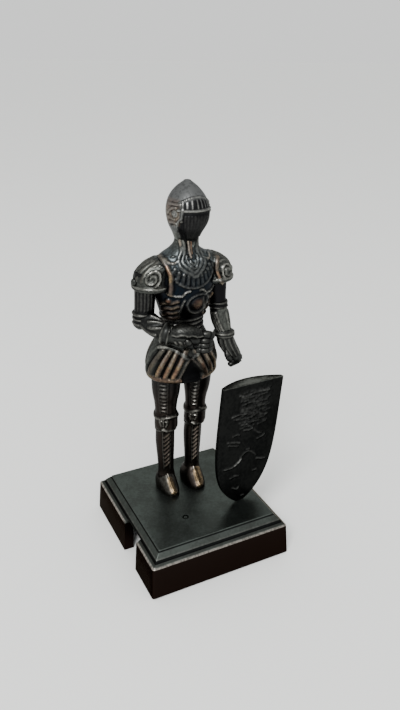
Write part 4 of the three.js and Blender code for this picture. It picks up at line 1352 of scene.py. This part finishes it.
beside = to_stroke(np.array([1.0]), np.array([SHIELD_HEIGHT / 2]), [[0, 0], [0, 1]])
print("from a point 1 mm beside an upright stroke:", beside[0].round(2), "mm")

# %% [markdown]
# ### Worn carving
#
# The carving is too worn to read. It is built as what shows of it: short strokes and arcs, each with its
# own brightness, in shares of half the width and of the height, and rows of faint dashes behind them.

# %% Strokes
strokes = [
    (0.3, [[-0.45, 0.923], [-0.22, 0.908], [0.08, 0.924], [0.55, 0.921]]),
    (0.2, [[-0.36, 0.899], [0.0, 0.892], [0.38, 0.895]]),
    (0.15, [[-0.38, 0.876], [-0.14, 0.872]]),
    (0.2, [[-0.33, 0.839], [-0.03, 0.851], [0.22, 0.843], [0.5, 0.841]]),
    (0.2, [[-0.34, 0.806], [-0.16, 0.805], [0.08, 0.807], [0.43, 0.807]]),
    (0.15, [[0.55, 0.758], [0.67, 0.759]]),
    (0.2, [[-0.35, 0.79], [-0.12, 0.78], [0.11, 0.754]]),
    (0.15, [[0.13, 0.774], [0.41, 0.726], [0.54, 0.725]]),
    (0.5, [[-0.63, 0.762], [-0.57, 0.764]]),
    (0.3, [[-0.62, 0.762], [-0.45, 0.769], [-0.26, 0.767], [-0.14, 0.763]]),
    (0.2, [[-0.55, 0.739], [-0.27, 0.728], [0.04, 0.725]]),
    (0.2, [[-0.26, 0.701], [-0.04, 0.689], [0.18, 0.685]]),
    (0.45, [[-0.12, 0.679], [-0.1, 0.677]]),
    (0.4, [[-0.02, 0.656], [0.0, 0.655]]),
    (0.3, [[-0.16, 0.629], [0.0, 0.623], [0.12, 0.629]]),
    (0.15, [[0.19, 0.613], [0.34, 0.58], [0.48, 0.562]]),
    (0.2, [[-0.28, 0.68], [-0.15, 0.675]]),
    (0.2, [[0.34, 0.526], [0.46, 0.532], [0.59, 0.546]]),
    (0.25, [[-0.67, 0.56], [-0.49, 0.549], [-0.26, 0.531]]),
    (0.2, [[-0.63, 0.533], [-0.31, 0.507]]),
    (0.15, [[-0.51, 0.6], [-0.39, 0.606], [-0.3, 0.599]]),
    (0.2, [[0.02, 0.458], [0.12, 0.453]]),
    (0.12, [[-0.17, 0.402], [0.0, 0.435], [0.17, 0.43], [0.39, 0.381]]),
    (0.3, [[-0.7, 0.334], [-0.53, 0.331], [-0.41, 0.336], [-0.24, 0.361], [-0.13, 0.391]]),
    (0.9, [[-0.35, 0.342], [-0.24, 0.361], [-0.15, 0.385]]),
    (0.25, [[0.42, 0.351], [0.58, 0.336], [0.73, 0.33]]),
    (0.2, [[0.35, 0.25], [0.46, 0.249]]),
    (0.2, [[-0.31, 0.253], [-0.15, 0.24]]),
    (0.15, [[-0.44, 0.241], [-0.35, 0.242]]),
    (0.2, [[-0.32, 0.146], [-0.18, 0.125], [-0.11, 0.139]]),
    (0.15, [[0.03, 0.05], [0.12, 0.049]]),
]
for row in range(13):
    for k in range(5):
        x = -0.32 + 0.19 * k + 0.05 * np.sin(2.3 * row + 1.7 * k)
        y = 0.935 - 0.0235 * row + 0.005 * np.sin(3.1 * row + 2.2 * k)
        strokes.append((0.1, [[x, y], [x + 0.06, y + 0.005 * np.sin(5 * row + k)], [x + 0.12, y + 0.004]]))
print("strokes", len(strokes))

# %% [markdown]
# ### Shield mesh
#
# The outline narrows to the foot as half = W / 2 (1 - (1 - up)^5.3)^0.77, and the back swells by the bulge
# times (1 - inward^2) and the share of the full width. The strokes rise up to a quarter of a millimetre
# from the face, each as bright as its wear and the glint painted on it, and the rim and the top are
# rounded. The flat top catches the light, so a painted highlight is put there: the rounded top edge gets
# more sheen and the top's middle point much more.

# %% Shield mesh
ROUNDED = 0.25
STROKE_WIDTH, STROKE_RISE = 0.3, 0.25
LEVELS, FACE_SIDES, BACK_SIDES = 150, 90, 44
# painted highlights: more sheen on the top edge and much more at the top's middle
FACE_SHEEN, RIM_SHEEN, TOP_SHEEN = 0.06, 0.5, 2.0
share = np.linspace(0.03, 1, LEVELS) ** 1.25
half = SHIELD_WIDTH / 2 * (1 - (1 - share) ** 5.3) ** 0.77
across = half[:, None] * np.linspace(1, -1, FACE_SIDES)[None, :]
up = np.broadcast_to(share[:, None] * SHIELD_HEIGHT, across.shape)
rim = np.clip((ROUNDED - (half[:, None] - np.abs(across))) / ROUNDED, 0, 1)
top = np.clip((ROUNDED - (SHIELD_HEIGHT - up)) / ROUNDED, 0, 1)
out = -ROUNDED * (1 - np.sqrt(1 - np.clip(np.hypot(rim, top), 0, 1) ** 2))
shine = np.zeros(across.shape)
for bright, path in strokes:
    worn = np.clip(1 - (to_stroke(across, up, path) / STROKE_WIDTH) ** 2, 0, 1)
    out = np.maximum(out, min(STROKE_RISE, 0.08 + 0.6 * bright) * worn)
    # painted glint: a stroke brighter than 0.8 keeps its full brightness
    shine = np.maximum(shine, (bright if bright > 0.8 else 0.65 * bright) * worn)
inward = np.linspace(-1, 1, BACK_SIDES)[None, :]
swell = SHIELD_BULGE * (1 - inward**2) * 2 * half[:, None] / SHIELD_WIDTH
back = [half[:, None] * inward, np.broadcast_to(up[:, :1], swell.shape), -SHIELD_EDGE - swell]
face = np.concatenate([on_shield(across, up, out), on_shield(*back)], 1)[:, ::-1]
shine = np.concatenate([shine, swell * 0], 1)[:, ::-1]
lit = np.concatenate([FACE_SHEEN + RIM_SHEEN * top, FACE_SHEEN + swell * 0], 1)[:, ::-1]
foot = on_shield(np.array(0.0), np.array(0.0), np.array(-SHIELD_EDGE / 2))
points, faces, (shine, lit) = closed(face, foot, face[-1].mean(0), [shine, lit])
lit[-1] = TOP_SHEEN
values = {"rubbed": shine, "sheen": lit, "kept": lit * 0 + 1}
shield = add_mesh("shield_fine", points, faces, values, scene.collection)
print("shield faces", len(shield.data.polygons))

# %% [markdown]
# ## Hand the pieces to the frame
#
# Each fine piece rides on the single body and stands for its plain solid. Faces are shaded smooth, and
# edges sharper than 40 degrees stay crisp, as on a casting that was tumbled but not polished.

# %% Attach and shade
CRISP = np.radians(40)
for piece, node in ((knight, "knight"), (plinth, "plinth"), (shield, "shield")):
    mesh = piece.data
    mesh.shade_smooth()
    mesh.set_sharp_from_angle(angle=CRISP)
    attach(piece, "root")
    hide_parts(node)
    points = np.empty(len(mesh.vertices) * 3)
    mesh.vertices.foreach_get("co", points)
    print(node, "from", points.reshape(-1, 3).min(0).round(5), "to", points.reshape(-1, 3).max(0).round(5))

# %% [markdown]
# ## Shader maths as sums
#
# A finish is worked out from noise, from place and from the numbers that the mesh carries. Written as sums
# these rules are easy to read, so `Wire` stands for one socket and its operators add the Math nodes.


# %% Sums of wires
class Wire:
    """One output of a node tree, with + - and * by Math nodes."""

    def __init__(self, finish, socket):
        self.finish, self.socket = finish, socket

    def math(self, operation, *others, clamp=False):
        """A Math node on this wire and the others."""
        settings = {"operation": operation, "use_clamp": clamp}
        return self.finish.add("ShaderNodeMath", settings, dict(enumerate((self, *others))))

    def __add__(self, other):
        return self.math("ADD", other)

    def __sub__(self, other):
        return self.math("SUBTRACT", other)

    def __mul__(self, other):
        return self.math("MULTIPLY", other)

    def __rsub__(self, other):
        return self.finish.add("ShaderNodeMath", {"operation": "SUBTRACT"}, {0: other, 1: self})

    __radd__, __rmul__ = __add__, __mul__

    def kept(self):
        """The value held between 0 and 1."""
        return self.math("ADD", 0.0, clamp=True)


print("besides its operators a wire has", [name for name in vars(Wire) if name[0] != "_"])

# %% [markdown]
# ## Nodes
#
# Every node comes from one method, `add`, which sets its settings first and its sockets after that. Two
# more read what the surface knows about itself: the numbers that the mesh carries, and the place on the
# piece.


# %% Nodes
class Material:
    """A material with its node tree and its surface shader."""

    def __init__(self, name):
        self.material = bpy.data.materials.new(name)
        self.material.use_nodes = True
        self.tree = self.material.node_tree
        self.shader = self.tree.nodes["Principled BSDF"]

    def feed(self, socket, value):
        """Links a wire to a socket, or sets the socket's own value."""
        if isinstance(value, Wire):
            self.tree.links.new(value.socket, socket)
        else:
            socket.default_value = value

    def add(self, kind, settings=None, inputs=None, output=0):
        """A node of a type, with its settings made first and then its sockets' values or links."""
        node = self.tree.nodes.new(kind)
        for key, value in (settings or {}).items():
            setattr(node, key, value)
        for key, value in (inputs or {}).items():
            self.feed(node.inputs[key], value)
        return Wire(self, node.outputs[output])

    def number(self, name):
        """A number that the mesh carries at its points."""
        return self.add("ShaderNodeAttribute", {"attribute_name": name}, output="Fac")

    def place(self):
        """The place on the piece, in metres."""
        return self.add("ShaderNodeTexCoord", output="Object")

    def height(self):
        """The height on the piece, in metres."""
        return self.add("ShaderNodeSeparateXYZ", {}, {0: self.place()}, "Z")


print("finishes read", NUMBERS)

# %% [markdown]
# ## A finish under construction
#
# A finish is put together from noise, soft steps, mixed colours and a bump, and ends in the surface shader.


# %% Finish
class Finish(Material):
    """Noise, steps, mixtures and a bump, and the way into the surface shader."""

    def above(self, low, high):
        """0 below one height and 1 above another, in millimetres of the frame."""
        return self.step(self.height(), low * MM, high * MM)

    def noise(self, size, detail, rough=0.55):
        """Noise with features of a size in millimetres."""
        sockets = {"Vector": self.place(), "Scale": 1000.0 / size, "Detail": detail, "Roughness": rough}
        return self.add("ShaderNodeTexNoise", {}, sockets, "Fac")

    def step(self, value, low, high):
        """0 below low, 1 above high, smooth between."""
        sockets = {"Value": value, "From Min": low, "From Max": high}
        return self.add("ShaderNodeMapRange", {"interpolation_type": "SMOOTHSTEP"}, sockets)

    def mix(self, share, first, second):
        """Two colours mixed by a share."""
        pair = [c if isinstance(c, Wire) else (*c, 1.0) for c in (first, second)]
        sockets = {0: share, 6: pair[0], 7: pair[1]}
        return self.add("ShaderNodeMix", {"data_type": "RGBA"}, sockets, 2)

    def bump(self, height, strength, reach):
        """A bumped normal from a height."""
        sockets = {"Height": height, "Strength": strength, "Distance": reach * MM}
        return self.add("ShaderNodeBump", {}, sockets)

    def done(self, colour, metallic, roughness, normal):
        """Feeds the surface shader."""
        named = {"Base Color": colour, "Metallic": metallic, "Roughness": roughness, "Normal": normal}
        for name, value in named.items():
            self.feed(self.shader.inputs[name], value)
        return self.material


print("a finish has", [name for name in vars(Finish) if name[0] != "_"])

# %% [markdown]
# ## Antique bronze
#
# The bare casting is dipped in a solution that turns it nearly black, then tumbled and waxed. High places
# rub back to copper and gold, low places stay black, and the thin dark layer between is greenish. So the
# colour is mixed from the dark body, the sheen and the bare metal by the numbers that the carving left on
# the mesh, broken up by noise, and the wax makes the rubbed parts smoother. The sheen is painted light, a
# lighter grey where the surface catches light; highlights and glints are painted as rubbed metal, and
# shade in the creases is painted as darkness.

# %% Bronze
STEEL, COPPER, GOLD = (0.32, 0.315, 0.285), (0.23, 0.128, 0.08), (0.30, 0.215, 0.12)
# the near-black of low places: dark patina in hollows, and painted shade in creases and recesses
CREASE = (0.0032, 0.0033, 0.0038)
WAXED, UNEVEN, DIRTY, BURNISHED = 0.37, 0.15, 0.2, 0.08
CLOUD, SPECKLE, GRAIN, STREAK = 5.0, 0.6, 0.2, 2.5
GOLD_FROM, GOLD_TO = 17, 21
GRAIN_STRENGTH, GRAIN_DEPTH = 0.3, 0.06


class Bronze(Finish):
    """Patina on metal: a dark body, painted grey sheen in patches, bright or copper wear and highlights."""

    def __init__(self, name, seam_shade=0.8, mottle=1.3):
        """The first sets the joins' painted shade and dark finish; mottle is how patchy the sheen is."""
        super().__init__(name)
        self.cloud, self.fine = self.noise(CLOUD, 4.0), self.noise(SPECKLE, 4.0)
        self.grain = self.noise(GRAIN, 2.0)
        self.rubbed = (self.number("rubbed") * (self.step(self.fine, 0.35, 0.6) * 0.6 + 0.4)).kept()
        # painted shade with the dark finish in the creases, where kept is 0
        self.low = (self.number("dark") + (1 - self.number("kept")) * seam_shade).kept()
        patches = self.step(self.cloud + (self.fine - 0.5) * mottle, 0.3, 0.7)
        self.patch = patches * 0.4 * mottle + 1 - 0.4 * mottle

    def finish(self, body, sheen, cover, steel=STEEL, edge=(0.6, 0.6, 0.6)):
        """Mixes colours, roughness and a fine grain, and returns the material. Edge tints it at a glance."""
        patina_and_sheen = self.mix((cover * self.patch).kept(), body, sheen)
        gold = self.step(self.noise(STREAK, 2.0), 0.4, 0.65) + 1 - self.above(GOLD_FROM, GOLD_TO)
        metal = self.mix(self.number("copper"), steel, self.mix(gold.kept(), COPPER, GOLD))
        colour = self.mix(self.low * 0.93, self.mix(self.rubbed, patina_and_sheen, metal), CREASE)
        uneven = WAXED + (self.cloud - 0.5) * UNEVEN + (self.grain - 0.5) * UNEVEN
        rough = (uneven + self.low * DIRTY - self.rubbed * BURNISHED).kept()
        self.shader.inputs["Specular Tint"].default_value = (*edge, 1.0)
        grain = self.bump(self.grain * 0.4 + self.fine * 0.6, GRAIN_STRENGTH, GRAIN_DEPTH)
        return self.done(colour, 1.0, rough, grain)


print("creases are", round(STEEL[0] / CREASE[0]), "times darker than rubbed steel")

# %% [markdown]
# ### Bronze on the knight
#
# The legs are brownish black, the trunk is black, and the chest has a blue cast between its sides, a painted
# reflection of dark bluish surroundings. The sheen is painted light: greenish grey, bluer on the chest, and
# plain grey and fuller on the skull, which catches the light from above.

# %% Bronze on the knight
BROWN_BLACK, BLACK, BLUE_BLACK = (0.0115, 0.0075, 0.0062), (0.0078, 0.0076, 0.0085), (0.0045, 0.0085, 0.0135)
GREEN_GREY, BLUE_GREY, GREY = (0.153, 0.162, 0.145), (0.135, 0.16, 0.168), (0.122, 0.125, 0.125)
bronze = Bronze("knight bronze")
aside = bronze.add("ShaderNodeSeparateXYZ", {}, {0: bronze.place()}, "X") - (LEFT_EDGE + 18) * MM
chest = bronze.above(61, 66) * (1 - bronze.above(74, 78))
# painted reflection: a bluish cast between the chest's sides
blue = chest * (1 - bronze.step(aside.math("ABSOLUTE"), 0.005, 0.007)) * bronze.patch
body = bronze.mix(bronze.above(38, 46), BROWN_BLACK, bronze.mix(blue, BLACK, BLUE_BLACK))
# painted highlight: the skull's sheen is plain grey and fuller
skull = bronze.above(78.5, 81)
patina_sheen_colour = bronze.mix(skull, bronze.mix(blue, GREEN_GREY, BLUE_GREY), GREY)
knight.data.materials.append(bronze.finish(body, patina_sheen_colour, bronze.number("sheen") * (skull * 0.35 + 1)))
print("knight:", knight.data.materials[0].name)

# %% [markdown]
# ### Bronze on the shield and the plinth
#
# The same class makes all three finishes, because the real pieces went through one bath. The shield is the
# blackest piece, and a dark edge tint keeps it dark at a glance, a painted dark reflection. The plinth's
# skirt is brownish black, its brown cast a painted reflection of reddish surroundings. A grey-green veil lies
# on everything above it, partly patina and partly painted light from above, and it is thinner on the ledge
# and on the slopes of the moulding, as painted shade.

# %% Bronze on the shield and the plinth
bronze = Bronze("shield bronze")
SHIELD_BLACK, SHIELD_GREY = (0.0034, 0.0036, 0.0039), (0.17, 0.175, 0.162)
# the low edge tint keeps the shield dark at a glance, a painted dark reflection
SHIELD_STEEL, SHIELD_EDGE_TINT = (0.26, 0.26, 0.25), (0.2, 0.2, 0.2)
metal = bronze.finish(SHIELD_BLACK, SHIELD_GREY, bronze.number("sheen"), SHIELD_STEEL, SHIELD_EDGE_TINT)
shield.data.materials.append(metal)
bronze = Bronze("plinth bronze", 0.0, 0.8)
# veil above the skirt: patina and painted light from above, thinned on ledge and slopes as painted shade
over_ledge = bronze.above(LEDGE_TOP, LEDGE_TOP + 0.1)
ledge = bronze.above(SKIRT_HEIGHT + 0.05, SKIRT_HEIGHT + 0.25) * (1 - over_ledge)
slopes = over_ledge * (1 - bronze.above(BEVEL_TOP - 0.1, BEVEL_TOP))
deck = bronze.above(SKIRT_HEIGHT - 0.15, SKIRT_HEIGHT + 0.02) * (1 - slopes * 0.25 - ledge * 0.5)
# the brownish body is a painted reflection of reddish surroundings
PLINTH_BROWN, PLINTH_PATINA_SHEEN = (0.0094, 0.006, 0.005), (0.072, 0.084, 0.077)
PLINTH_STEEL, PLINTH_EDGE_TINT = (0.43, 0.39, 0.35), (0.4, 0.38, 0.36)
metal = bronze.finish(PLINTH_BROWN, PLINTH_PATINA_SHEEN, deck, PLINTH_STEEL, PLINTH_EDGE_TINT)
plinth.data.materials.append(metal)
print("finishes:", [m.name for m in bpy.data.materials])

# %% [markdown]
# ## Light
#
# Plain soft studio light. Dark metal shows only what it reflects, so all light is broad: a pale world all
# round, a sun as wide as an overcast sky's bright part, and one soft panel. Both lamps stand in front of
# the figure, to its right and above it, as the light in the photo does.

# %% Light
WORLD_COLOUR, WORLD_STRENGTH = (0.80, 0.81, 0.80, 1), 1.3
SUN_STRENGTH, SUN_WIDTH, SUN_TURN = 1.48, 50, (38, -22, 0)
world = bpy.data.worlds.new("studio")
world.use_nodes = True
background = world.node_tree.nodes["Background"]
background.inputs["Color"].default_value = WORLD_COLOUR
background.inputs["Strength"].default_value = WORLD_STRENGTH
scene.world = world
sun = bpy.data.lights.new("sky", "SUN")
sun.energy = SUN_STRENGTH
sun.angle = np.radians(SUN_WIDTH)
sky = bpy.data.objects.new("sky", sun)
sky.rotation_euler = np.radians(SUN_TURN)
scene.collection.objects.link(sky)
print("world strength", WORLD_STRENGTH, "sun strength", SUN_STRENGTH)

# %% [markdown]
# ### Panel
#
# The panel gives the bright edges on the side of the light. It looks at the middle of the piece, which a
# track constraint could do too, but a matrix of its three directions needs no second object.

# %% Panel
PANEL_AT, PANEL_TO = np.array([-0.35, -0.35, 0.55]), np.array([0, 0, 0.05])
PANEL_SIZE, PANEL_POWER = 0.22, 4.7
lamp = bpy.data.lights.new("key", "AREA")
lamp.size = PANEL_SIZE
lamp.energy = PANEL_POWER
panel = bpy.data.objects.new("key", lamp)
ahead = unit(PANEL_TO - PANEL_AT)
right = unit(np.cross(ahead, [0, 0, 1.0]))
turn = np.eye(4)
turn[:3, 0], turn[:3, 1], turn[:3, 2], turn[:3, 3] = right, np.cross(right, ahead), -ahead, PANEL_AT
panel.matrix_world = Matrix(turn)
scene.collection.objects.link(panel)
print("lights:", [light.name for light in bpy.data.lights])

# %% [markdown]
# ## Floor
#
# A pale round floor. Far off it meets the light of the world, which is nearly as pale. It lies a hair below
# the plinth, and a very faint cloud of noise keeps it from being one flat colour.

# %% Floor
FLOOR_RADIUS, FLOOR_SIDES, FLOOR_BELOW = 4, 96, 0.0002
ring = np.radians(np.arange(FLOOR_SIDES) * 360 / FLOOR_SIDES)
floor = bpy.data.meshes.new("floor")
corners = [[FLOOR_RADIUS * np.cos(p), FLOOR_RADIUS * np.sin(p), -FLOOR_BELOW] for p in ring]
floor.from_pydata(corners, [], [list(range(FLOOR_SIDES))])
ground = bpy.data.objects.new("floor", floor)
scene.collection.objects.link(ground)
pale = Finish("pale floor")
PALE, PALER, CLOUD_SIZE = (0.75, 0.755, 0.74), (0.765, 0.77, 0.755), 40.0
soft = pale.noise(CLOUD_SIZE, 2.0)
colour = pale.mix(soft, PALE, PALER)
floor.materials.append(pale.done(colour, 0.0, 0.7, pale.bump(soft, 0.05, 0.2)))
print("floor", 2 * FLOOR_RADIUS, "m wide")

# %% [markdown]
# ## Camera
#
# The photo's view was worked out from the plinth, which is a level box with square corners: its edges give
# the three turns, the focal length in pixels and the distance. The camera looks down on the figure from the
# front and from the figure's right.

# %% Camera
YAW, PITCH_DOWN, ROLL = -0.4667, -0.4472, -0.0101
FOCAL, PHOTO_WIDTH = 661.88, 400
SENSOR, NEAREST = 36.0, 0.005
EYE = np.array([-60.16, -124.85, 117.14])


def spin(axis, angle):
    """A turn about axis 0, 1 or 2."""
    m, (i, j) = np.eye(3), ((1, 2), (2, 0), (0, 1))[axis]
    m[i, i] = m[j, j] = np.cos(angle)
    m[i, j], m[j, i] = -np.sin(angle), np.sin(angle)
    return m


axes = spin(2, YAW) @ spin(0, PITCH_DOWN) @ spin(1, ROLL)
lens = bpy.data.cameras.new("camera")
lens.sensor_fit = "HORIZONTAL"
lens.sensor_width = SENSOR
lens.lens = SENSOR * FOCAL / PHOTO_WIDTH
lens.clip_start = NEAREST
camera = bpy.data.objects.new("camera", lens)
seat = np.eye(4)
seat[:3, 0], seat[:3, 1], seat[:3, 2] = axes[:, 0], axes[:, 2], -axes[:, 1]
seat[:3, 3] = (EYE + MIDDLE) * MM
camera.matrix_world = Matrix(seat)
scene.collection.objects.link(camera)
scene.camera = camera
print("camera at", seat[:3, 3].round(4), "lens", round(lens.lens, 2))

# %% [markdown]
# ## The end
